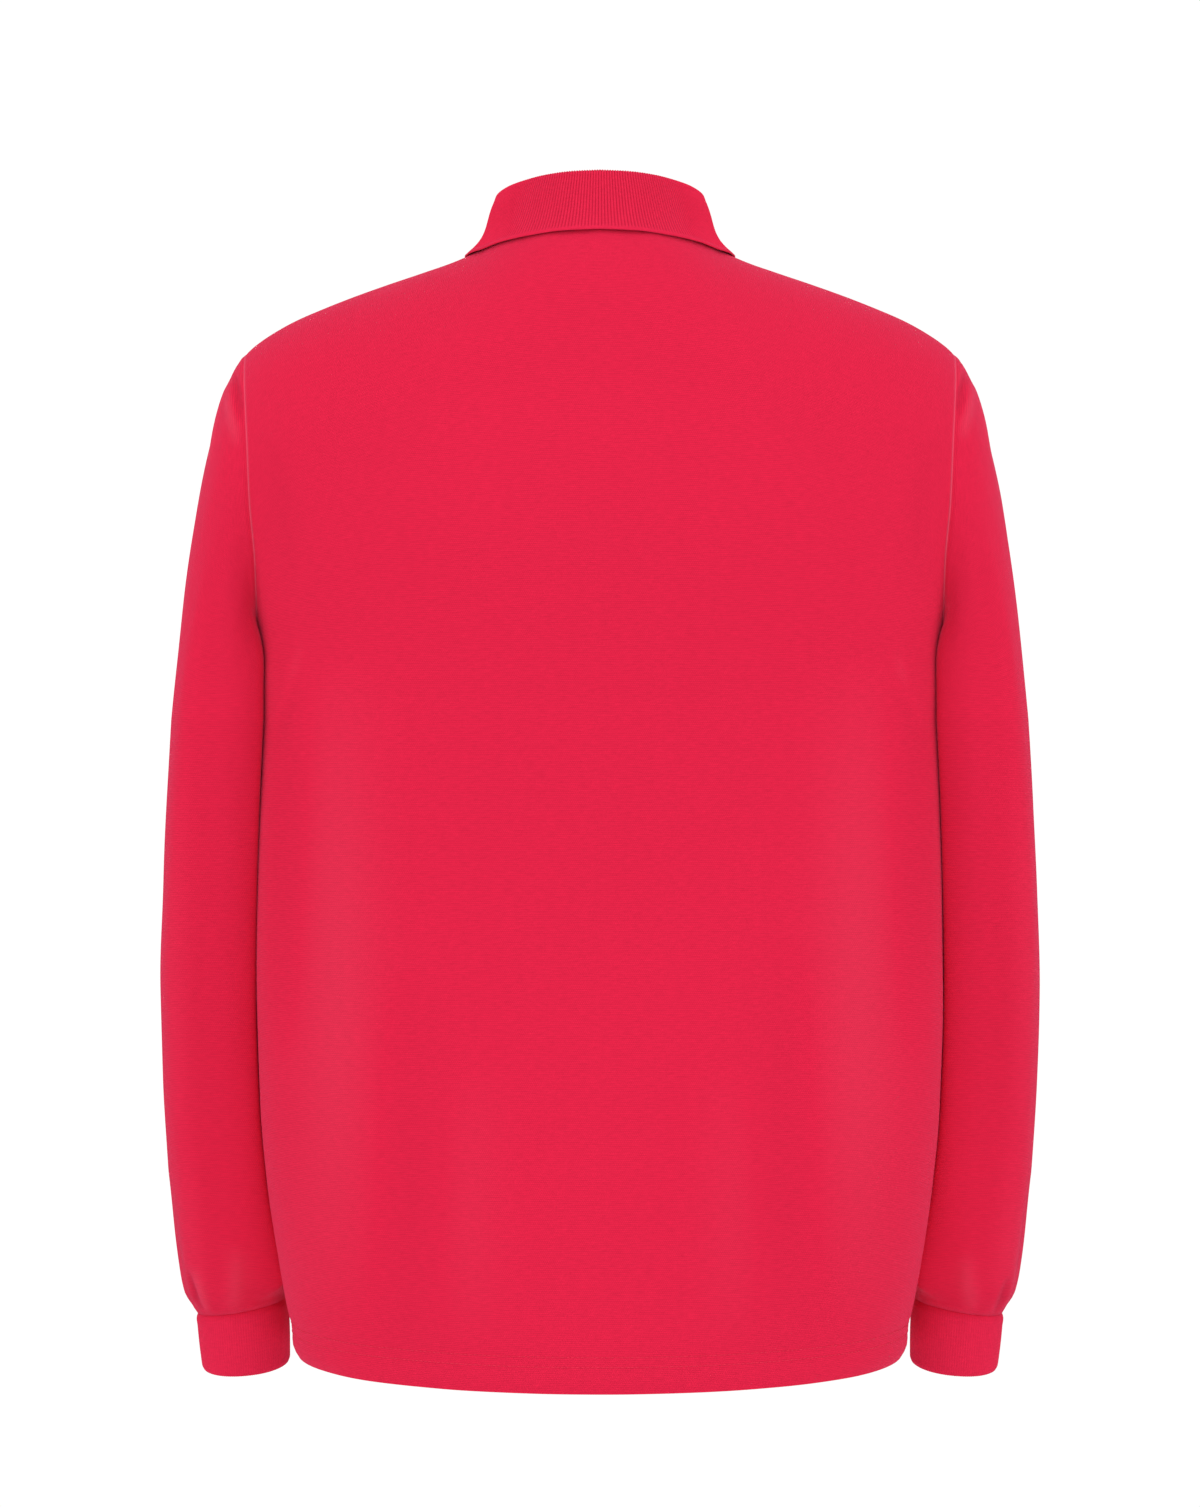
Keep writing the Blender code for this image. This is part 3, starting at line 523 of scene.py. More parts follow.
def clothWall(
    name, outer, inner, material, closed=False, leftOut=None, flip=False, roundRims=0.45, paintedShading=None
):
    # a shell between two grids, with its cut edges rounded; the last argument is painted light and shade on
    # the outside, paler where positive and deeper where negative
    rows, cols = outer.shape[:2]
    cellCols = cols if closed else cols - 1
    kept = np.ones((rows - 1, cellCols), dtype=bool)
    if leftOut is not None:
        kept &= ~leftOut
    index = np.arange(rows * cols).reshape(rows, cols)
    wide = np.concatenate((index, index[:, :1]), axis=1) if closed else index
    stretched = np.concatenate((outer, outer[:, :1]), axis=1) if closed else outer
    u = arcFrom(stretched, 1, False)
    u = u - u[:, [u.shape[1] // 2]]
    v = np.cumsum(np.concatenate(([0.0], np.linalg.norm(np.diff(outer, axis=0), axis=2).mean(axis=1))))
    uv = np.stack((u, np.broadcast_to(v[:, None], u.shape)), axis=2)
    i, j = np.nonzero(kept)
    corners = ((i, j), (i, j + 1), (i + 1, j + 1), (i + 1, j))
    quads = np.stack([wide[a, b] for a, b in corners], axis=1)
    quadUvs = np.stack([uv[a, b] for a, b in corners], axis=1)
    points = [outer.reshape(-1, 3), inner.reshape(-1, 3)]
    layer = rows * cols
    rimFaces, rimUvs, rimPoints, rimIndex = [], [], [], {}

    def rimPoint(at, away):
        # halfway through the wall and a little proud of the cut edge
        key = int(wide[at])
        if key not in rimIndex:
            rimIndex[key] = len(rimPoints)
            a, b = outer.reshape(-1, 3)[key], inner.reshape(-1, 3)[key]
            rimPoints.append([0.5 * (a + b), np.zeros(3), np.linalg.norm(a - b)])
        rimPoints[rimIndex[key]][1] = rimPoints[rimIndex[key]][1] + away
        return 2 * layer + rimIndex[key]

    padded = np.zeros((rows + 1, cellCols + 2), dtype=bool)
    padded[1:-1, 1:-1] = kept
    if closed:
        padded[1:-1, 0], padded[1:-1, -1] = kept[:, -1], kept[:, 0]
    # the four neighbours of a cell, each with the two corners that it shares with the cell
    neighbours = (
        ((-1, 0), (0, 0), (0, 1)),
        ((0, 1), (0, 1), (1, 1)),
        ((1, 0), (1, 1), (1, 0)),
        ((0, -1), (1, 0), (0, 0)),
    )
    for (di, dj), first, second in neighbours:
        lone = kept & ~padded[1 + di:rows + di, 1 + dj:cellCols + 1 + dj]
        for ci, cj in zip(*np.nonzero(lone)):
            a, b = (ci + first[0], cj + first[1]), (ci + second[0], cj + second[1])
            centre = stretched[ci:ci + 2, cj:cj + 2].reshape(4, 3).mean(axis=0)
            away = unit(0.5 * (stretched[a] + stretched[b]) - centre)
            ra, rb = rimPoint(a, away), rimPoint(b, away)
            ia, ib = int(wide[a]), int(wide[b])
            rimFaces += [(ib, ia, ra, rb), (rb, ra, ia + layer, ib + layer)]
            rimUvs += [uv[b], uv[a], uv[a], uv[b]] * 2
    moved = [middle + unit(away) * wall * 0.5 * roundRims for middle, away, wall in rimPoints]
    points.append(np.array(moved).reshape(-1, 3))
    faces = quads.tolist() + (quads[:, ::-1] + layer).tolist() + [list(face) for face in rimFaces]
    uvs = np.concatenate([part.reshape(-1, 2) for part in (quadUvs, quadUvs[:, ::-1], np.array(rimUvs))])
    if flip:
        faces = [face[::-1] for face in faces]
        uvs = uvs.reshape(-1, 4, 2)[:, ::-1].reshape(-1, 2)
    made = meshFrom(name, np.concatenate(points), faces, uvs, material)
    # painted light and shade on the outside's points, and half of it on the rims, for the material to read
    paintedShadingValues = np.zeros(len(made.data.vertices), dtype=np.float32)
    if paintedShading is not None:
        paintedShadingValues[:layer] = np.asarray(paintedShading).ravel()
        paintedShadingValues[2 * layer:] = [0.5 * paintedShadingValues[key] for key in rimIndex]
    made.data.attributes.new("paintedShading", "FLOAT", "POINT").data.foreach_set("value", paintedShadingValues)
    return made


def mirrored(grid):
    return grid * np.array([-1.0, 1.0, 1.0])


def turnedFaces(rings, sides):
    # faces between rings of points, with both ends closed
    faces = []
    for k in range(rings - 1):
        for m in range(sides):
            n = (m + 1) % sides
            faces.append((k * sides + m, k * sides + n, (k + 1) * sides + n, (k + 1) * sides + m))
    return faces + [tuple(range(sides - 1, -1, -1)), tuple(range((rings - 1) * sides, rings * sides))]


def tubeAlong(path, radius, sides=6):
    # points and faces of a thin closed thread along a path
    path = np.asarray(path, dtype=float)
    along = unit(np.gradient(path, axis=0))
    sideways = unit(np.cross(along, np.array([0.31, 0.17, 0.93])))
    third = np.cross(along, sideways)
    turns = np.linspace(0.0, 2.0 * math.pi, sides, endpoint=False)
    points = []
    for p, s, n in zip(path, sideways, third):
        points += [p + radius * (math.cos(t) * s + math.sin(t) * n) for t in turns]
    return np.array(points), turnedFaces(len(path), sides)


def joined(parts):
    points, faces, start = [], [], 0
    for partPoints, partFaces in parts:
        points.append(partPoints)
        faces += [tuple(start + k for k in face) for face in partFaces]
        start += len(partPoints)
    return np.concatenate(points), faces


# Node trees: a node gets its settings, then each input gets a value or another node's output
def addNode(tree, kind, inputs, **settings):
    node = tree.nodes.new(kind)
    for name, value in settings.items():
        setattr(node, name, value)
    for key, value in inputs.items():
        if isinstance(value, bpy.types.NodeSocket):
            tree.links.new(value, node.inputs[key])
        else:
            node.inputs[key].default_value = value
    return node


def mathNode(tree, operation, *values):
    return addNode(tree, "ShaderNodeMath", dict(enumerate(values)), operation=operation).outputs[0]


def newTree(name, kind, inputs, outputs):
    tree = bpy.data.node_groups.new(name, kind)
    for label, socketKind, value in inputs:
        socket = tree.interface.new_socket(name=label, in_out="INPUT", socket_type="NodeSocket" + socketKind)
        if value is not None:
            socket.default_value = value
    for label, socketKind in outputs:
        tree.interface.new_socket(name=label, in_out="OUTPUT", socket_type="NodeSocket" + socketKind)
    return tree, tree.nodes.new("NodeGroupInput").outputs, tree.nodes.new("NodeGroupOutput").inputs


# Shader groups: the knit of the cloth, its slight colour changes, and painted light and shade
def knitGroup():
    # small raised cells in rows, each row half a cell along, with a pit between them
    group, given, result = newTree(
        "knitCells",
        "ShaderNodeTree",
        (
            ("Vector", "Vector", None),
            ("Cell Width", "Float", 0.12),
            ("Cell Height", "Float", 0.1),
            ("Wander", "Float", 0.05),
        ),
        (("Height", "Float"), ("Pit", "Float")),
    )

    def calc(operation, *values):
        return mathNode(group, operation, *values)

    noise = addNode(group, "ShaderNodeTexNoise", {"Vector": given["Vector"], "Scale": 2.5, "Detail": 2.0})
    split = addNode(group, "ShaderNodeSeparateXYZ", {0: given["Vector"]}).outputs
    shift = calc("MULTIPLY", calc("SUBTRACT", noise.outputs[0], 0.5), given["Wander"])
    u = calc("DIVIDE", calc("ADD", split[0], shift), given["Cell Width"])
    v = calc("DIVIDE", calc("ADD", split[1], shift), given["Cell Height"])
    odd = calc("MULTIPLY", calc("FLOORED_MODULO", calc("FLOOR", v), 2.0), 0.5)
    across = calc("SUBTRACT", calc("FRACT", calc("ADD", u, odd)), 0.5)
    upright = calc("SUBTRACT", calc("FRACT", v), 0.5)
    square = calc("ADD", calc("MULTIPLY", across, across), calc("MULTIPLY", upright, upright))
    spread = calc("MINIMUM", calc("MULTIPLY", square, 2.6), 1.0)
    group.links.new(calc("SUBTRACT", 1.0, spread), result["Height"])
    group.links.new(calc("POWER", spread, 2.0), result["Pit"])
    return group


def dyeAndShadingGroup():
    # the dyed colour, uneven over large areas, with painted shade in the pits of the knit, and a painted
    # highlight or painted shade from each piece's painted shading
    group, given, result = newTree(
        "dyedCottonWithPaintedShading",
        "ShaderNodeTree",
        (
            ("Vector", "Vector", None),
            ("Colour", "Color", (0.8, 0.02, 0.06, 1.0)),
            ("Pit", "Float", 0.0),
            ("Painted Pit Shade", "Float", 0.2),
            ("Blotch", "Float", 0.05),
            ("Streak", "Float", 0.1),
            ("Courses", "Vector", None),
            ("Painted Shading", "Float", 0.0),
            ("Painted Highlight", "Float", 0.12),
            ("Painted Shade", "Float", 0.2),
        ),
        (("Colour", "Color"), ("Fuzz", "Float")),
    )

    def calc(operation, *values):
        return mathNode(group, operation, *values)

    def noise(vector, scale, detail):
        inputs = {"Vector": vector, "Scale": scale, "Detail": detail}
        return addNode(group, "ShaderNodeTexNoise", inputs).outputs[0]

    # uneven yarn shows as short streaks along the rows of the knit
    courses = {0: given["Courses"], 1: (1.5, 9.0, 1.0)}
    drawnOut = addNode(group, "ShaderNodeVectorMath", courses, operation="MULTIPLY").outputs[0]
    yarn = calc("MULTIPLY", calc("SUBTRACT", noise(drawnOut, 1.0, 2.0), 0.5), given["Streak"])
    large = calc("MULTIPLY", calc("SUBTRACT", noise(given["Vector"], 9.0, 3.0), 0.5), given["Blotch"])
    # painted shade in the pits of the knit
    paintedPitShade = calc("MULTIPLY", given["Pit"], given["Painted Pit Shade"])
    # painted shade where the painted shading is negative
    shade = calc("MULTIPLY", calc("MINIMUM", given["Painted Shading"], 0.0), given["Painted Shade"])
    value = calc("ADD", calc("SUBTRACT", 1.0, paintedPitShade), calc("ADD", calc("ADD", large, yarn), shade))
    dyeAndShading = addNode(group, "ShaderNodeHueSaturation", {"Color": given["Colour"], "Value": value}).outputs[0]
    # painted highlight: a paler pink mixed in where the painted shading is positive
    pale = calc("MULTIPLY", calc("MAXIMUM", given["Painted Shading"], 0.0), given["Painted Highlight"])
    # inputs 6 and 7 and output 2 are the colours of a mix
    lighter = addNode(group, "ShaderNodeMix", {0: pale, 6: dyeAndShading, 7: (1.0, 0.36, 0.52, 1.0)}, data_type="RGBA")
    group.links.new(lighter.outputs[2], result["Colour"])
    group.links.new(noise(given["Vector"], 1400.0, 2.0), result["Fuzz"])
    return group


knit = knitGroup()
dyeAndShadingTree = dyeAndShadingGroup()


def newMaterial(name):
    material = bpy.data.materials.new(name)
    material.use_nodes = True
    return material, material.node_tree, material.node_tree.nodes["Principled BSDF"]


def applyLook(nodes, look):
    # each value of a look goes to the inputs of its name
    for node in nodes:
        for label, value in look.items():
            if label in node.inputs:
                node.inputs[label].default_value = value


def clothMaterial(name, look):
    material, tree, shader = newMaterial(name)
    places = addNode(tree, "ShaderNodeTexCoord", {}).outputs["Object"]
    courses = addNode(tree, "ShaderNodeUVMap", {}, uv_map="cloth").outputs[0]
    # the painted light and shade carried on the pieces' points
    paintedShadingValues = addNode(tree, "ShaderNodeAttribute", {}, attribute_name="paintedShading").outputs["Fac"]
    cells = addNode(tree, "ShaderNodeGroup", {}, node_tree=knit)
    tree.links.new(courses, cells.inputs["Vector"])
    dyeAndShading = addNode(tree, "ShaderNodeGroup", {}, node_tree=dyeAndShadingTree)
    sources = {"Vector": places, "Courses": courses, "Pit": cells.outputs["Pit"], "Painted Shading": paintedShadingValues}
    for label, source in sources.items():
        tree.links.new(source, dyeAndShading.inputs[label])
    height = mathNode(tree, "MULTIPLY_ADD", dyeAndShading.outputs["Fuzz"], look["Fuzz Share"], cells.outputs["Height"])
    bump = addNode(tree, "ShaderNodeBump", {"Height": height})
    applyLook((shader, cells, dyeAndShading, bump), look)
    tree.links.new(dyeAndShading.outputs["Colour"], shader.inputs["Base Color"])
    tree.links.new(bump.outputs[0], shader.inputs["Normal"])
    return material


# The names are those of the nodes' inputs; Strength and Distance are the bump's
piqueLook = {
    "Colour": (0.765, 0.0165, 0.062, 1.0),
    "Roughness": 0.88,
    "Specular IOR Level": 0.04,
    "Sheen Weight": 0.30,
    "Sheen Roughness": 0.34,
    "Sheen Tint": (1.0, 0.22, 0.44, 1.0),
    "Cell Width": 0.125,
    "Cell Height": 0.115,
    "Wander": 0.05,
    # painted shade in the knit's pits
    "Painted Pit Shade": 0.24,
    "Streak": 0.24,
    # painted highlight and painted shade by each piece's painted shading
    "Painted Highlight": 0.13,
    "Painted Shade": 0.30,
    "Blotch": 0.05,
    "Fuzz Share": 0.5,
    "Strength": 0.55,
    "Distance": 0.0004,
}
ribLook = {
    **piqueLook,
    "Colour": (0.745, 0.0175, 0.065, 1.0),
    "Cell Width": 0.158,
    "Cell Height": 0.09,
    # less painted shade in the pits and less painted highlight on the rib
    "Painted Pit Shade": 0.08,
    "Wander": 0.02,
    "Strength": 0.3,
    "Painted Highlight": 0.02,
}
threadLook = {
    **piqueLook,
    "Cell Width": 0.03,
    "Cell Height": 0.05,
    "Painted Pit Shade": 0.05,
    "Roughness": 0.6,
    "Specular IOR Level": 0.3,
}

pique = clothMaterial("redPique", piqueLook)
rib = clothMaterial("redRib", ribLook)
thread = clothMaterial("redThread", threadLook)

buttonLook = {
    "Colour": (0.70, 0.020, 0.055, 1.0),
    "Specular IOR Level": 0.5,
    "Blotch": 0.12,
    "roughest": 0.40,
    "smoothest": 0.22,
}


def buttonMaterial():
    material, tree, shader = newMaterial("redButton")
    places = addNode(tree, "ShaderNodeTexCoord", {}).outputs["Object"]
    dyeAndShading = addNode(tree, "ShaderNodeGroup", {}, node_tree=dyeAndShadingTree)
    tree.links.new(places, dyeAndShading.inputs["Vector"])
    scuffs = addNode(tree, "ShaderNodeTexNoise", {"Vector": places, "Scale": 260.0}).outputs[0]
    span = {"Value": scuffs, "To Min": buttonLook["smoothest"], "To Max": buttonLook["roughest"]}
    applyLook((shader, dyeAndShading), buttonLook)
    tree.links.new(addNode(tree, "ShaderNodeMapRange", span).outputs[0], shader.inputs["Roughness"])
    tree.links.new(dyeAndShading.outputs["Colour"], shader.inputs["Base Color"])
    return material


buttonPlastic = buttonMaterial()
print("materials made")


# Stitches laid along a line
def stitchTree():
    tree, given, result = newTree(
        "stitchesAlongLine",
        "GeometryNodeTree",
        (
            ("Geometry", "Geometry", None),
            ("Pitch", "Float", 0.003),
            ("Length", "Float", 0.0027),
            ("Radius", "Float", 0.0003),
            ("Seed", "Int", 0),
            ("Material", "Material", None),
        ),
        (("Geometry", "Geometry"),),
    )

    def made(kind, inputs, **settings):
        return addNode(tree, kind, inputs, **settings).outputs

    line = made("GeometryNodeMeshToCurve", {0: given["Geometry"]})[0]
    spaced = made("GeometryNodeResampleCurve", {"Curve": line, "Length": given["Pitch"]}, mode="LENGTH")[0]
    stitch = made("GeometryNodeMeshUVSphere", {"Segments": 6, "Rings": 5, "Radius": 0.5})[0]
    wide = mathNode(tree, "MULTIPLY", given["Radius"], 2.0)
    size = made("ShaderNodeCombineXYZ", {0: given["Length"], 1: wide, 2: wide})[0]
    tangent = made("GeometryNodeInputTangent", {})[0]
    turned = made("FunctionNodeAlignRotationToVector", {"Vector": tangent}, axis="X")[0]
    # inputs 2 and 3 and output 1 of a random value are the single numbers
    spread = {2: 0.9, 3: 1.06, "Seed": given["Seed"]}
    uneven = made("FunctionNodeRandomValue", spread, data_type="FLOAT")[1]
    scale = made("ShaderNodeVectorMath", {0: size, "Scale": uneven}, operation="SCALE")[0]
    placing = {"Points": spaced, "Instance": stitch, "Rotation": turned, "Scale": scale}
    placed = made("GeometryNodeInstanceOnPoints", placing)[0]
    real = made("GeometryNodeRealizeInstances", {0: placed})[0]
    smooth = made("GeometryNodeSetShadeSmooth", {0: real})[0]
    coloured = made("GeometryNodeSetMaterial", {"Geometry": smooth, "Material": given["Material"]})[0]
    tree.links.new(coloured, result[0])
    return tree


stitches = stitchTree()


def stitchRows(name, lines, pitch, seed):
    # lines are lists of points in centimetres that lie on the cloth
    points, edges = [], []
    for line in lines:
        start = len(points)
        points += [tuple(p * 0.01) for p in line]
        edges += [(start + k, start + k + 1) for k in range(len(line) - 1)]
    mesh = bpy.data.meshes.new(name + "Lines")
    mesh.from_pydata(points, edges, [])
    holder = addObject(name + "Lines", mesh)
    modifier = holder.modifiers.new("stitches", "NODES")
    modifier.node_group = stitches
    values = {
        "Pitch": pitch * 0.01,
        "Length": stitchSizes["length"] * 0.01,
        "Radius": stitchSizes["radius"] * 0.01,
        "Seed": seed,
        "Material": thread,
    }
    for item in stitches.interface.items_tree:
        if item.in_out == "INPUT" and item.name in values:
            modifier[item.identifier] = values[item.name]
    bpy.context.view_layer.update()
    shown = holder.evaluated_get(bpy.context.evaluated_depsgraph_get())
    plain = bpy.data.meshes.new_from_object(shown)
    plain.name = name
    bpy.data.objects.remove(holder)
    return addObject(name, plain)


# Back and front panels
# On their grids the places run from 0 in the middle to 12 at the side seam and armhole, with the corner of
# the neck at 6. The steps run up to 0 at the underarm and on to 10 at the neck and shoulder seams.
seamPlace, neckPlace, topStep, lowRows = 12.0, 6.0, 10.0, 119


def columnPlaces():
    # places across half a panel, closer together at the seam
    even = np.arange(0.0, 11.5, 0.125)
    return np.concatenate((even, [11.5, 11.6, 11.69, 11.77, 11.83, 11.88, 11.92, 11.95, 11.98, 12.0]))


def topPlaces(side, places):
    # distances from the middle at which the columns meet the neck seam and the shoulder seam
    inNeck = np.minimum(places, neckPlace)
    if side == front:
        atNeck = smoothCurve(range(len(neckTable)), [row[0] for row in neckTable])(inNeck)
    else:
        atNeck = bodySizes["neckHalfWidth"] * np.sin(0.5 * math.pi * inNeck / neckPlace)
    wide = bodySizes["shoulderPoint"][0] - bodySizes["neckHalfWidth"]
    return atNeck + wide * np.maximum(places - neckPlace, 0.0) / (seamPlace - neckPlace)


def panelSurface(side):
    half = columnPlaces()
    places = np.concatenate((-half[:0:-1], half))
    sign, size = np.sign(places), np.abs(places)
    share = np.sin(0.5 * math.pi * size / seamPlace)
    topX = topPlaces(side, size)
    underarm, (shoulderX, shoulderZ) = bodySizes["underarmHeight"], bodySizes["shoulderPoint"]

    lowZ = np.linspace(bodySizes["hemHeight"], underarm, lowRows)[:, None]
    lowX = share[None] * body["halfWidth"](lowZ)

    steps = np.concatenate((np.arange(0.125, 9.8, 0.125), [9.82, 9.89, 9.94, 9.97, 10.0]))
    rise = (0.5 - 0.5 * np.cos(math.pi * steps / topStep))[:, None]
    topZ = np.where(size <= neckPlace, neck[sideName[side]](topX), ridge(topX))[None]
    highZ = underarm + (topZ - underarm) * rise
    edgeX = armhole[sideName[side]](underarm + (shoulderZ - underarm) * rise)
    atTop = topX[None] * (1.0 + (edgeX / shoulderX - 1.0) * (topX[None] / shoulderX) ** 2)
    slow = smoothStep(rise)
    quick = smoothStep(rise / 0.2) if side == front else slow
    mix = quick + (slow - quick) * smoothStep(size - 1.0)[None]
    highX = share[None] * edgeX * (1.0 - mix) + atTop * mix

    x = np.concatenate((lowX, highX)) * sign[None]
    z = np.concatenate((np.broadcast_to(lowZ, lowX.shape), highZ))
    grid = np.stack((x, formY(side, x, z), z), axis=2)
    stepsUp = np.concatenate((np.linspace(-9.0, 0.0, lowRows), steps))
    return {"grid": grid, "places": places, "steps": stepsUp}


def panelShell(side, seed):
    # outer and inner faces, and the outer face before the seams sink
    surface = panelSurface(side)
    grid, places, steps = surface["grid"], surface["places"], surface["steps"]
    normals = gridNormals(grid) * -side
    calm = 1.0 - smoothStep((steps - 8.5) / 1.2)[:, None]
    middleY = body["seamY"](grid[..., 2])
    depth = np.abs(grid[..., 1] - middleY)
    inward = smoothStep(depth / cloth["foldFreeDepth"] - 0.3)
    ripple = unevenness(grid[..., 0], grid[..., 2], seed) * calm
    creased = creaseRise(grid, bodyCreases, middleY)
    rise = (ripple + creased) * inward
    smoothed = grid + normals * rise[..., None]

    normals = gridNormals(smoothed) * -side
    low = steps <= 0.0
    normals[low, 0, 1] = normals[low, -1, 1] = 0.0
    shoulder = np.abs(places) > neckPlace - 0.01
    normals[-1, shoulder, 1] = 0.0
    normals = unit(normals)

    above = smoothed[..., 2] - bodySizes["hemHeight"]
    hem = 1.0 - smoothStep((above - bodySizes["hemBand"]) / 0.3)
    wall = cloth["thickness"] + (bodySizes["hemThickness"] - cloth["thickness"]) * hem
    inner = smoothed - normals * wall[..., None]

    fromSides = fromBothSides(smoothed)
    sink = seamShape(fromSides, cloth["seamDip"])
    # painted highlight along the armhole seam, and painted light and shade on the creases and folds by their
    # rise
    paintedShading = 0.5 * paintedSeamHighlight(fromSides) * (steps > 0.5)[:, None]
    paintedShading = paintedShading + cloth["paintedCreaseShading"] * creased * inward
    paintedShading = paintedShading + cloth["paintedFoldShading"] * foldRise(side, grid[..., 0], grid[..., 2]) * inward
    fromTop = arcFrom(smoothed, 0, True)
    sink = np.where(shoulder[None], np.minimum(sink, seamShape(fromTop, cloth["seamDip"])), sink)
    for height in bodySizes["hemStitchHeights"]:
        sink = sink - bodySizes["hemStitchSink"] * bell((above - height) / bodySizes["hemStitchWidth"])
    swell, edge = bodySizes["hemSwell"], bodySizes["hemEdge"]
    sink = sink + swell["rise"] * bell((above - swell["height"]) / swell["halfWidth"])
    sink = sink - edge["sink"] * bell(above / edge["halfWidth"])
    outer = smoothed + normals * sink[..., None]
    return {"outer": outer, "inner": inner, "rim": smoothed, "normals": normals, "paintedShading": paintedShading, **surface}


shells = {back: panelShell(back, 3), front: panelShell(front, 8)}
shell = shells[back]
backPanel = clothWall(
    "backPanel", shell["outer"], shell["inner"], pique, flip=True, roundRims=0.15, paintedShading=shell["paintedShading"]
)

shell = shells[front]
cellPlaces = 0.5 * (shell["places"][1:] + shell["places"][:-1])
cellSteps = 0.5 * (shell["steps"][1:] + shell["steps"][:-1])
inSlit = np.abs(cellPlaces)[None] < bodySizes["slitHalfColumns"]
slit = inSlit & (cellSteps[:, None] > bodySizes["slitFirstStep"])
frontPanel = clothWall(
    "frontPanel", shell["outer"], shell["inner"], pique, leftOut=slit, roundRims=0.15, paintedShading=shell["paintedShading"]
)
for piece, node in ((backPanel, "back_panel"), (frontPanel, "front_panel")):
    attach(piece, "root")
    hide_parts(node)
print("body panels made")


# Hem stitching: two rows all round, as a twin needle sews them
def hemLines(side, height):
    outer, normals = shells[side]["outer"], shells[side]["normals"]
    level = bodySizes["hemHeight"] + height
    z = outer[:, 0, 2]
    k = int(np.searchsorted(z, level)) - 1
    t = (level - z[k]) / (z[k + 1] - z[k])
    line = outer[k] * (1.0 - t) + outer[k + 1] * t
    return line + normals[k] * stitchSizes["radius"] * 0.35


hemStitches = stitchRows(
    "hemStitches",
    [hemLines(side, height) for side in (back, front) for height in bodySizes["hemStitchHeights"]],
    stitchSizes["hemPitch"],
    stitchSizes["seed"],
)


# Sleeves
def rimDirections(points, inside, toward):
    # square to the cut edge and along the cloth
    away = unit(np.cross(np.gradient(points, axis=0), points - inside))
    return away * np.sign(np.sum(away * toward, axis=1, keepdims=True))


def armholeRim():
    # outer points, inner points and outward directions of the left armhole, from the top round by the back
    parts = {}
    for side in (back, front):
        shell = shells[side]
        rows = np.nonzero(shell["steps"] >= -0.01)[0][::-1]
        points, inside = shell["rim"][rows, -1], shell["inner"][rows, -1]
        away = rimDirections(points, inside, points - shell["rim"][rows, -4])
        away[-1] = (0.0, 0.0, 1.0)
        parts[side] = (points, inside, away, math.pi * (topStep - shell["steps"][rows]) / topStep)
    loops = []
    for k in range(3):
        behind, before = parts[back][k], parts[front][k]
        top, bottom = 0.5 * (behind[0] + before[0]), 0.5 * (behind[-1] + before[-1])
        loops.append(np.concatenate(([top], behind[1:-1], [bottom], before[-2:0:-1])))
    turns = np.concatenate((parts[back][3][:-1], [math.pi], 2.0 * math.pi - parts[front][3][-2:0:-1]))
    return loops[0], loops[1], unit(loops[2]), turns


def ring(curves, height, turns, fullness=None):
    # one level cut of a tube: turn 0 is outwards and a quarter round is the back
    section = {name: curve(height) for name, curve in curves.items()}
    middle = 0.5 * (section["innerX"] + section["outerX"])
    half = 0.5 * (section["outerX"] - section["innerX"])
    lean = section.get("lean", 0.0)
    power = section.get("fullness", fullness)
    corner = (np.cos(turns) < 0.0) & (np.sin(turns) > 0.0)
    power = np.where(corner, power + sleeveSizes["cornerSquareness"] * lean, power)
    c = np.sign(np.cos(turns)) * np.abs(np.cos(turns)) ** (2.0 / power)
    s = np.sign(np.sin(turns)) * np.abs(np.sin(turns)) ** (2.0 / power)
    shift = lean * np.minimum(c, 0.0) * smoothStep((s - 0.45) / 0.55)
    z = height - section["outerDrop"] * c - section["rearDrop"] * s
    return np.stack((middle + half * c + shift, section["middleY"] + section["halfDepth"] * s, z), axis=1)


sleeveCurves = tableCurves(sleeveTable, sleeveColumns, "height")
cuffCurves = tableCurves(cuffTable, cuffColumns, "height")


def capRings(rim, bicep, turns):
    # curved lines from the armhole seam to the bicep
    rear, over = np.sin(turns), np.cos(turns)
    mirror = np.ones((len(turns), 6))
    mirror[:, 1] = mirror[:, 4] = rear
    bend = np.maximum(over, 0.0)[:, None] ** 2 * np.array(capTable["top"])
    mirror[:, 0] = smoothStep((over + 0.9) / 0.9)
    bend = bend + (rear * rear)[:, None] * np.array(capTable["side"]) * mirror
    bend = bend + np.maximum(-over, 0.0)[:, None] ** 2 * np.array(capTable["bottom"])
    p1, p2 = rim + bend[:, :3], bicep + bend[:, 3:]
    near = np.array([0.003, 0.006, 0.010, 0.015, 0.021, 0.028])
    shares = np.concatenate((near, np.linspace(0.04, 1.0, sleeveSizes["capSteps"])[:-1]))
    rings = []
    for t in shares:
        rest = 1 - t
        rings.append(rest ** 3 * rim + 3 * rest ** 2 * t * p1 + 3 * rest * t * t * p2 + t ** 3 * bicep)
    return rings


def sleeveFolds(turns, z):
    angle = np.degrees(turns)[None]
    total = np.zeros_like(z)
    for fold in tableRows(sleeveFoldTable, sleeveFoldColumns):
        across = ((angle - fold["angle"] + 180.0) % 360.0 - 180.0) / fold["halfAngle"]
        total = total + fold["rise"] * np.sin(math.pi * alongFold(fold, z)) * bell(across)
    return total


def gathers(turns, height, seed):
    # the sleeve is eased into the narrower cuff in small uneven gathers
    randoms = np.random.default_rng(seed)
    total = np.zeros_like(height)
    for k in range(sleeveSizes["gathers"]):
        centre = 2.0 * math.pi * (k + randoms.uniform(-0.3, 0.3)) / sleeveSizes["gathers"]
        across = ((turns[None] - centre + math.pi) % (2.0 * math.pi) - math.pi) / randoms.uniform(0.09, 0.17)
        reach = sleeveSizes["gatherHeight"] * randoms.uniform(0.4, 1.2)
        fade = smoothStep(1.0 - height / reach) * smoothStep(height / 0.35 + 0.2)
        total = total - randoms.uniform(0.35, 1.0) * fade * bell(across)
    return sleeveSizes["gatherRise"] * total


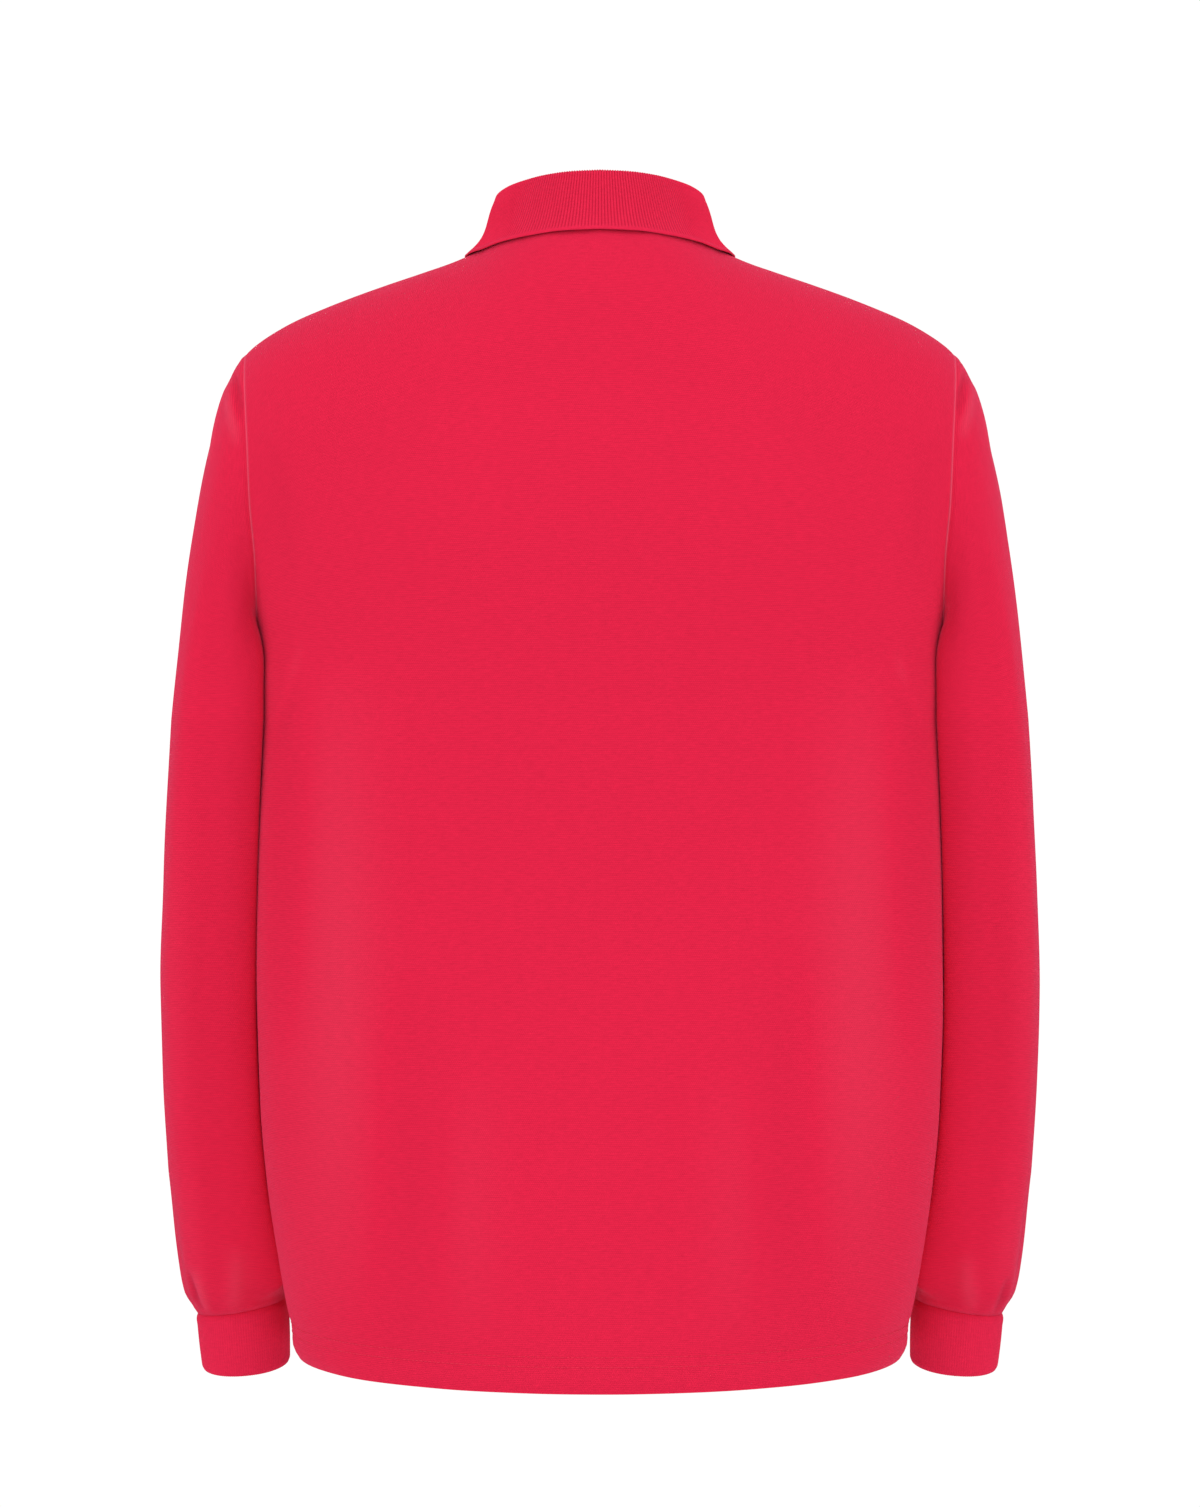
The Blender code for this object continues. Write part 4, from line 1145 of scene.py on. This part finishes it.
def restOnBody(grid, fromSeam):
    # the rear inner corner of the hanging sleeve lies against the side of the body
    x, y, z = grid[..., 0], grid[..., 1], grid[..., 2]
    underarm = bodySizes["underarmHeight"]
    level = np.minimum(z, underarm)
    power = body["fullness"](level)
    reach = np.clip(np.abs(y - body["seamY"](level)) / body["back"](level), 0.0, 0.99)
    target = body["halfWidth"](level) * (1.0 - reach ** power) ** (1.0 / power) + sleeveSizes["restGap"]
    rear = (y - sleeveCurves["middleY"](z)) / sleeveCurves["halfDepth"](z)
    inward = x < 0.5 * (sleeveCurves["innerX"](z) + sleeveCurves["outerX"](z))
    share = smoothStep((rear - 0.1) / 0.3) * (1.0 - smoothStep((rear - 0.84) / 0.16)) * inward
    share = share * smoothStep((underarm + sleeveSizes["restAbove"] - z) / 4.0)
    share = share * smoothStep((z - sleeveTable[-1][0] - 0.1) / 1.6) * smoothStep(fromSeam / 1.2)
    return np.stack((x + (target - x) * share, y, z), axis=2)


def sleeveShell(creases, seed):
    rim, inside, away, turns = armholeRim()
    start = rim + away * cloth["seamGap"]
    even = np.arange(sleeveTable[0][0], -67.6, -sleeveSizes["ringStep"])
    levels = np.concatenate((even, [-67.8, -68.1, -68.35, -68.55, -68.7]))
    tube = [ring(sleeveCurves, level, turns) for level in levels]
    cuffTop = ring(cuffCurves, cuffTable[0][0], turns, cuffSizes["fullness"])
    cuffEnd = ring(cuffCurves, cuffTable[-1][0], turns, cuffSizes["fullness"])
    axis = unit(cuffTop.mean(axis=0) - cuffEnd.mean(axis=0))
    last = cuffTop + axis * cloth["seamGap"]
    grid = np.array([start] + capRings(start, tube[0], turns) + tube + [last])
    normals = -gridNormals(grid, closed=True)
    z = grid[..., 2]
    fromSeam, fromCuff = arcFrom(grid, 0, False), arcFrom(grid, 0, True)
    ends = smoothStep(fromSeam / 1.6) * smoothStep(fromCuff / 0.5)
    middleY = sleeveCurves["middleY"](z)
    folded = sleeveFolds(turns, z) * ends
    # 0.13 cm of cloth for each degree round the sleeve
    around = np.broadcast_to(np.degrees(turns)[None] * 0.13, z.shape)
    rise = folded + unevenness(around, z, seed) * ends
    small = creaseRise(grid, creases, middleY) * smoothStep(fromSeam / 0.25)
    gathered = gathers(turns, fromCuff, sleeveSizes["seed"] + seed)
    # painted light and shade: paler on the ridges of folds and creases, deeper in their troughs and in the
    # gathers
    paintedShading = cloth["paintedFoldShading"] * folded + cloth["paintedCreaseShading"] * (small + gathered)
    rise = rise + small + gathered
    grid = restOnBody(grid + normals * rise[..., None], fromSeam)
    normals = -gridNormals(grid, closed=True)
    inner = grid - normals * cloth["thickness"]
    inner[0] = inside + away * cloth["seamGap"]
    cuffNormals = -gridNormals(np.array([cuffTop, cuffEnd]), closed=True)[0]
    inner[-1] = last - cuffNormals * cuffSizes["thickness"]
    sink = seamShape(fromSeam, cloth["seamDip"]) + seamShape(fromCuff, cloth["cuffSeamDip"])
    # the armhole seam gets a stronger painted highlight
    return grid + normals * sink[..., None], inner, 1.5 * paintedSeamHighlight(fromSeam) + paintedShading


def cuffShell():
    # equal steps round the cuff, so that the ribs are evenly spaced
    dense = np.linspace(0.0, 2.0 * math.pi, 721)
    outline = ring(cuffCurves, cuffTable[1][0], dense, cuffSizes["fullness"])
    along = lengthsAlong(outline)
    ribs = int(along[-1] / cuffSizes["ribPitch"])
    turns = np.interp(np.linspace(0.0, along[-1], 4 * ribs, endpoint=False), along, dense)
    top, bottom = cuffTable[0][0], cuffTable[-1][0]
    even = np.linspace(0.12, 0.94, cuffSizes["rows"])
    shares = np.concatenate(([0.0, 0.02, 0.045, 0.08], even, [0.965, 0.985, 1.0]))
    levels = top + (bottom - top) * shares
    grid = np.array([ring(cuffCurves, level, turns, cuffSizes["fullness"]) for level in levels])
    normals = -gridNormals(grid, closed=True)
    inner = grid - normals * cuffSizes["thickness"]
    fromTop, fromEnd = arcFrom(grid, 0, False), arcFrom(grid, 0, True)
    wave = np.sin(0.5 * math.pi * np.arange(len(turns)))[None]
    relief = cuffSizes["ribRise"] * wave * smoothStep(fromTop / 0.1)
    swell = cuffSizes["swell"] * np.sin(math.pi * np.clip(fromTop / cuffSizes["swellHeight"], 0.0, 1.0))
    swell = swell - cuffSizes["edgeSink"] * bell(fromEnd / cuffSizes["edgeHeight"])
    outer = grid + normals * (relief + swell + seamShape(fromTop, cloth["cuffSeamDip"]))[..., None]
    inner = inner - normals * (cuffSizes["ribRise"] * wave)[..., None]
    # the last is painted highlight on the ribs' crests and painted shade in their grooves
    return outer, inner, np.broadcast_to(cuffSizes["paintedRibShading"] * wave, fromTop.shape)


sleevePieces = {}
cuffOuter, cuffInner, cuffPaintedShading = cuffShell()
for side, creases, turnOver, seed in (
    ("left", leftSleeveCreases, False, 21),
    ("right", rightSleeveCreases, True, 34),
):
    outer, inner, paintedShading = sleeveShell(creases, seed)
    faces = [mirrored(face) if turnOver else face for face in (outer, inner, cuffOuter, cuffInner)]
    name = side.capitalize()
    sleeve = clothWall(
        "sleeve" + name, faces[0], faces[1], pique, closed=True, flip=turnOver, roundRims=0.1, paintedShading=paintedShading
    )
    cuff = clothWall(
        "cuff" + name, faces[2], faces[3], rib, closed=True, flip=turnOver, roundRims=0.8, paintedShading=cuffPaintedShading
    )
    for piece, node, slot in ((sleeve, "sleeve_" + side, "pique"), (cuff, "cuff_" + side, "rib")):
        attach(piece, "root")
        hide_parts(node)
        sleevePieces[node] = piece
print("sleeves and cuffs made")


# Collar: a folded rib strip, sewn to the neck seam
def neckRim(along):
    # points of the neck seam by the collar table's rows, 0 at the front's middle and 12 at the back's middle
    found = []
    for side in (front, back):
        shell = shells[side]
        chosen = (shell["places"] >= 0.0) & (shell["places"] <= neckPlace)
        points, inside = shell["rim"][-1, chosen], shell["inner"][-1, chosen]
        away = rimDirections(points, inside, points - shell["rim"][-4, chosen])
        places = shell["places"][chosen]
        if side == back:
            places = 2.0 * neckPlace - places[::-1]
            points, inside, away = points[::-1], inside[::-1], away[::-1]
        found.append((places, points, inside, away))
    places = np.concatenate((found[0][0][:-1], [neckPlace], found[1][0][1:]))
    loops = []
    for k in (1, 2, 3):
        corner = 0.5 * (found[0][k][-1] + found[1][k][0])
        loops.append(np.concatenate((found[0][k][:-1], [corner], found[1][k][1:])))
    startPlace = np.interp(collarTable[0][0], loops[0][: len(found[0][0]) - 1, 0], found[0][0][:-1])
    at = np.where(along < 1.0, startPlace + (1.0 - startPlace) * along, along)
    read = [np.stack([np.interp(at, places, loop[:, axis]) for axis in range(3)], axis=1) for loop in loops]
    return read[0], read[1], unit(read[2])


def collarSurface(along):
    curves = tableCurves(collarTable, collarColumns)
    cut = {name: curve(along) for name, curve in curves.items()}
    fold = np.stack((cut["foldX"], cut["foldY"], cut["foldZ"]), axis=1)
    edge = np.stack((cut["edgeX"], cut["edgeY"], cut["edgeZ"]), axis=1)
    outerBase, innerBase, away = neckRim(along)
    radius = collarSizes["foldRadius"]
    outward = unit(np.stack((cut["foldX"], cut["foldY"] + 0.3, np.zeros_like(along)), axis=1))
    up = np.array([0.0, 0.0, 1.0])
    centre = fold - up * radius
    foot = innerBase + away * collarSizes["gap"]
    standTop = centre - outward * radius
    rows = [foot + (standTop - foot) * share for share in np.linspace(0.0, 0.92, 9)]
    for turn in np.radians(np.linspace(180.0, 0.0, 13)):
        rows.append(centre + radius * (outward * math.cos(turn) + up * math.sin(turn)))
    fallTop = centre + outward * radius
    for share in np.concatenate((np.linspace(0.06, 0.9, 14), [0.93, 0.955, 0.975, 0.99, 1.0])):
        # 27/4 makes the greatest sag equal to the hollow
        sag = 6.75 * share * share * (1.0 - share) * cut["hollow"]
        rows.append(fallTop + (edge - fallTop) * share - outward * sag[:, None])
    return np.array(rows), outerBase + away * collarSizes["gap"]


def collarShell():
    dense = np.linspace(0.0, 2.0 * neckPlace, 481)
    curves = tableCurves(collarTable, collarColumns)
    fold = np.stack([curves[name](dense) for name in ("foldX", "foldY", "foldZ")], axis=1)
    length = lengthsAlong(fold)
    ribs = int(length[-1] / collarSizes["ribPitch"])
    along = np.interp(np.linspace(0.0, length[-1], 4 * ribs + 1), length, dense)
    half, feet = collarSurface(along)
    grid = np.concatenate((half, mirrored(half[:, -2::-1])), axis=1)
    feet = np.concatenate((feet, mirrored(feet[-2::-1])))
    normals = gridNormals(grid)
    fromFoot, fromEdge = arcFrom(grid, 0, False), arcFrom(grid, 0, True)
    thin, full = collarSizes["edgeThickness"], cloth["thickness"]
    hidden = grid + normals * (thin + (full - thin) * smoothStep(fromEdge / 0.6))[..., None]
    hidden[0] = feet
    fromRim = np.minimum(fromEdge, fromBothSides(grid))
    plain = smoothStep((fromRim - 0.08) / collarSizes["ribFade"]) * smoothStep(fromFoot / 0.15)
    wave = np.cos(0.5 * math.pi * (np.arange(grid.shape[1]) - 4 * ribs))[None]
    relief = (collarSizes["ribRise"] * wave * plain)[..., None]
    welt = collarSizes["edgeRise"] * bell((fromRim - collarSizes["edgeAt"]) / 0.1)[..., None]
    # the third is painted highlight on the ribs' crests and painted shade in their grooves
    return grid - normals * (relief + welt), hidden + normals * relief, wave * plain


collarOuter, collarHidden, collarPaintedShading = collarShell()
collar = clothWall("collar-rib", collarOuter, collarHidden, rib, flip=True, roundRims=0.7, paintedShading=collarPaintedShading)
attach(collar, "root")
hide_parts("collar")
print("collar made")


# Placket: two bands over the slit
def bandSurface(halfWidth, lowEnd, topGap, acrossSteps, upSteps):
    underarm = bodySizes["underarmHeight"]
    neckZ = float(neck["front"](0.0))
    slitShare = 0.5 - 0.5 * math.cos(math.pi * bodySizes["slitFirstStep"] / topStep)
    low = underarm + (neckZ - underarm) * slitShare
    x = halfWidth * np.linspace(-1.0, 1.0, acrossSteps)
    share = np.linspace(0.0, 1.0, upSteps)[:, None]
    bottom, top = low + lowEnd, neckZ - topGap
    drop = (neck["front"](np.abs(x)) - neckZ)[None]
    z = bottom + (top - bottom) * share + drop * smoothStep((share - 0.92) / 0.08)
    return np.broadcast_to(x[None], z.shape), z


def placketPieces():
    forward = np.array([0.0, -1.0, 0.0])
    gap = cloth["seamGap"]
    x, z = bandSurface(placketSizes["halfWidth"] - gap, 3.0 * gap, 2.0 * gap, 21, 121)
    under = np.stack((x, formY(front, x, z), z), axis=2)
    underPiece = clothWall("placketUnder", under, under - forward * cloth["thickness"], pique)
    wide = placketSizes["halfWidth"] + placketSizes["cover"]
    x, z = bandSurface(wide, -placketSizes["belowSlit"], 2.0 * gap, 61, 201)
    base = np.stack((x, formY(front, x, z), z), axis=2)
    lower = base + forward * placketSizes["lift"]
    fromSides, fromEnd = fromBothSides(base), arcFrom(base, 0, False)
    edge = np.clip(np.minimum(fromSides, fromEnd) / placketSizes["edgeRound"], 0.0, 1.0)
    rounded = placketSizes["thickness"] * np.sqrt(np.clip(1.0 - (1.0 - edge) ** 2, 0.0, 1.0))
    rows = bell((fromSides - placketSizes["stitchInset"]) / placketSizes["stitchWidth"])
    for height in (placketSizes["stitchInset"], placketSizes["boxHeight"]):
        rows = np.maximum(rows, bell((fromEnd - height) / placketSizes["stitchWidth"]))
    # the band's edge is 0.4 of its thickness high
    height = 0.4 * placketSizes["thickness"] + 0.6 * rounded - placketSizes["stitchSink"] * rows
    upper = lower + forward * height[..., None]
    upperPiece = clothWall("placketUpper", upper, lower, pique)
    return underPiece, upperPiece, upper


placketUnder, placketUpper, bandFace = placketPieces()
for piece, node in ((placketUnder, "placket_under"), (placketUpper, "placket_upper")):
    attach(piece, "root")
    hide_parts(node)


def bandLine(xs, zs):
    # points on the upper band's face
    x, z = np.broadcast_arrays(np.asarray(xs, dtype=float), np.asarray(zs, dtype=float))
    lift = placketSizes["lift"] + placketSizes["thickness"]
    return np.stack((x, formY(front, x, z, lift - 0.02), z), axis=1)


bandTop, bandBottom = bandFace[-1, :, 2].min(), bandFace[0, :, 2].min()
inset = placketSizes["halfWidth"] + placketSizes["cover"] - placketSizes["stitchInset"]
boxLow, boxHigh = bandBottom + placketSizes["stitchInset"], bandBottom + placketSizes["boxHeight"]
upright = np.linspace(boxLow, bandTop - 0.1, 120)
level = np.linspace(-inset, inset, 16)
placketStitches = stitchRows(
    "placketStitches",
    [
        bandLine(-inset, upright),
        bandLine(inset, upright),
        bandLine(level, boxLow),
        bandLine(level, boxHigh),
    ],
    stitchSizes["placketPitch"],
    stitchSizes["seed"] + 1,
)


# Buttons with four holes, their thread, and the buttonholes behind them
# Shares of a button's radius and thickness, from the middle of its back round the rim to its face
buttonProfile = (
    (0.02, 0.0), (0.70, 0.0), (0.90, 0.10), (0.98, 0.28), (1.0, 0.50), (0.985, 0.76), (0.94, 0.93),
    (0.87, 1.0), (0.79, 0.97), (0.72, 0.86), (0.66, 0.74), (0.58, 0.68), (0.02, 0.66),
)


def buttonFrame(height):
    lift = placketSizes["lift"] + placketSizes["thickness"] + cloth["seamGap"]
    radius = buttonSizes["radius"]
    seat = np.array([0.0, float(formY(front, 0.0, height, lift)), height])
    rise = float(formY(front, 0.0, height + radius) - formY(front, 0.0, height - radius))
    up = unit(np.array([0.0, rise, 2.0 * radius]))
    sideways = np.array([1.0, 0.0, 0.0])
    return seat, sideways, up, np.cross(sideways, up)


def buttonPiece(name, height):
    seat, sideways, up, outward = buttonFrame(height)
    sides, radius, thickness = buttonSizes["sides"], buttonSizes["radius"], buttonSizes["thickness"]
    turns = np.linspace(0.0, 2.0 * math.pi, sides, endpoint=False)
    points = []
    for r, lift in buttonProfile:
        for t in turns:
            spoke = sideways * math.cos(t) + up * math.sin(t)
            points.append(seat + radius * r * spoke + outward * thickness * lift)
    button = meshFrom(name, np.array(points), turnedFaces(len(buttonProfile), sides), None, buttonPlastic)
    drills = []
    for dx, dz in ((-1, -1), (1, -1), (1, 1), (-1, 1)):
        spot = seat + buttonSizes["holeSpacing"] * (dx * sideways + dz * up)
        drills.append(tubeAlong([spot - outward * 0.1, spot + outward * 0.4], buttonSizes["holeRadius"], 16))
    cutter = meshFrom(name + "Drills", *joined(drills), None, buttonPlastic)
    cut = button.modifiers.new("holes", "BOOLEAN")
    cut.operation, cut.solver, cut.object = "DIFFERENCE", "EXACT", cutter
    cutMesh = bpy.data.meshes.new_from_object(button.evaluated_get(bpy.context.evaluated_depsgraph_get()))
    button.modifiers.clear()
    button.data = cutMesh
    button.data.set_sharp_from_angle(angle=math.radians(40.0))
    bpy.data.objects.remove(cutter)
    return button


def strand(start, end, outward, bulge):
    shares = np.linspace(0.0, 1.0, 9)[:, None]
    return start + (end - start) * shares + outward * bulge * np.sin(math.pi * shares)


def buttonThread(height):
    seat, sideways, up, outward = buttonFrame(height)
    face = seat + outward * buttonSizes["thickness"] * 0.5
    reach = buttonSizes["holeSpacing"]
    parts = []
    for shift in (-buttonSizes["strandShift"], 0.0, buttonSizes["strandShift"]):
        for dx in (-1, 1):
            middle = face + sideways * (dx * reach + shift)
            path = strand(middle - up * reach, middle + up * reach, outward, buttonSizes["strandRise"])
            parts.append(tubeAlong(path, buttonSizes["strandRadius"]))
    return parts


def buttonholeThread(height):
    # one zigzag thread round the slot
    seat, sideways, up, outward = buttonFrame(height)
    length, width = buttonSizes["buttonholeLength"], buttonSizes["buttonholeHalfWidth"]
    path = []
    for k in range(buttonSizes["zigzags"] + 1):
        turn = 2.0 * math.pi * k / buttonSizes["zigzags"]
        far = 1.0 if k % 2 else 0.35
        x = width * far * math.copysign(abs(math.cos(turn)) ** 0.6, math.cos(turn))
        z = 0.5 * length * (0.93 + 0.07 * far) * math.copysign(abs(math.sin(turn)) ** 0.8, math.sin(turn))
        path.append(bandLine([x], [height + z])[0] + outward * 0.005)
    return tubeAlong(path, buttonSizes["zigzagRadius"], 5)


for name, height in zip(("top", "middle", "bottom"), buttonSizes["heights"]):
    button = buttonPiece("button" + name.capitalize(), height)
    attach(button, "root")
    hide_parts("button_" + name)

threadParts = []
for height in buttonSizes["heights"]:
    threadParts += buttonThread(height)
    threadParts.append(buttonholeThread(height))
buttonThreads = meshFrom("buttonThreads", *joined(threadParts), None, thread)

for piece in (hemStitches, placketStitches, buttonThreads):
    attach(piece, "root")
print("placket, buttons and stitches made")


# What each piece was cut from, laid flat
cutSizes = {
    "backPanel": {"piece": backPanel, "flat": (0.59, 0.74), "area": 0.40},
    "frontPanel": {"piece": frontPanel, "flat": (0.57, 0.73), "area": 0.36},
    "sleeveLeft": {"piece": sleevePieces["sleeve_left"], "flat": (0.41, 0.66), "area": 0.19},
    "sleeveRight": {"piece": sleevePieces["sleeve_right"], "flat": (0.41, 0.66), "area": 0.19},
    "cuffLeft": {"piece": sleevePieces["cuff_left"], "flat": (0.185, 0.042), "area": None},
    "cuffRight": {"piece": sleevePieces["cuff_right"], "flat": (0.185, 0.042), "area": None},
    "collar": {"piece": collar, "flat": (0.44, 0.095), "area": None},
    "placketUnder": {"piece": placketUnder, "flat": (0.034, 0.167), "area": None},
    "placketUpper": {"piece": placketUpper, "flat": (0.036, 0.175), "area": None},
}
for name, cut in cutSizes.items():
    mesh = cut["piece"].data
    area = sum(face.area for face in mesh.polygons) / 2.0
    flat = cut["area"] or cut["flat"][0] * cut["flat"][1]
    print(f"{name}: cloth {area:.4f} m2, cut {flat:.4f} m2, {len(mesh.polygons)} faces")


# Floor, light and camera
stageSizes = {
    "floorHeight": -1.45,
    "floorRadius": 2.7,
    "worldLight": 0.56,
    "worldSeen": 1.02,  # the white that the camera sees behind the shirt
    "cameraDistance": 2.30,
    "cameraHeight": -0.328,
    "lens": 85.16,
}


def makeFloor():
    material, tree, shader = newMaterial("paleFloor")
    shader.inputs["Base Color"].default_value = (0.88, 0.88, 0.88, 1.0)
    shader.inputs["Roughness"].default_value = 0.8
    mesh = bpy.data.meshes.new("floor")
    data = bmesh.new()
    bmesh.ops.create_circle(data, cap_ends=True, segments=96, radius=stageSizes["floorRadius"])
    data.to_mesh(mesh)
    data.free()
    mesh.materials.append(material)
    floor = addObject("floor", mesh)
    floor.location = (0.0, 0.0, stageSizes["floorHeight"])


def makeWorld():
    world = bpy.data.worlds.new("studio")
    bpy.context.scene.world = world
    world.use_nodes = True
    tree = world.node_tree
    white = (1.0, 1.0, 1.0, 1.0)
    light = tree.nodes["Background"]
    light.inputs["Color"].default_value = white
    light.inputs["Strength"].default_value = stageSizes["worldLight"]
    seen = {"Color": white, "Strength": stageSizes["worldSeen"]}
    shown = addNode(tree, "ShaderNodeBackground", seen).outputs[0]
    toCamera = addNode(tree, "ShaderNodeLightPath", {}).outputs["Is Camera Ray"]
    mix = addNode(tree, "ShaderNodeMixShader", {0: toCamera, 1: light.outputs[0], 2: shown})
    tree.links.new(mix.outputs[0], tree.nodes["World Output"].inputs["Surface"])


# Soft panels of light: place, size and power
lightTable = (
    ("cameraPanel", (0.0, 3.3, 0.0), (3.2, 2.6), 31.0),
    ("overheadPanel", (0.0, 0.9, 2.0), (2.4, 1.6), 18.0),
    ("leftPanel", (2.5, 1.0, 0.2), (1.4, 1.8), 20.0),
    ("rightPanel", (-2.5, 1.0, 0.2), (1.4, 1.8), 20.0),
    ("frontPanelLight", (0.0, -2.6, 0.6), (2.0, 1.6), 26.0),
)


def makeLights():
    aim = np.array([0.0, 0.0, -0.35])
    for name, place, size, power in lightTable:
        light = bpy.data.lights.new(name, "AREA")
        light.shape = "RECTANGLE"
        light.size, light.size_y = size
        light.energy = power
        lamp = addObject(name, light)
        lamp.location = place
        away = unit(np.array(place) - aim)
        lamp.rotation_euler = (math.acos(away[2]), 0.0, math.atan2(away[1], away[0]) + 0.5 * math.pi)


def makeCamera():
    camera = bpy.data.cameras.new("photoCamera")
    camera.lens = stageSizes["lens"]
    camera.sensor_width = 36.0
    camera.clip_end = 50.0
    eye = addObject("photoCamera", camera)
    eye.location = (0.0, stageSizes["cameraDistance"], stageSizes["cameraHeight"])
    eye.rotation_euler = (0.5 * math.pi, 0.0, math.pi)
    bpy.context.scene.camera = eye


makeFloor()
makeWorld()
makeLights()
makeCamera()
bpy.context.scene.view_settings.view_transform = "Standard"
print("stage made")
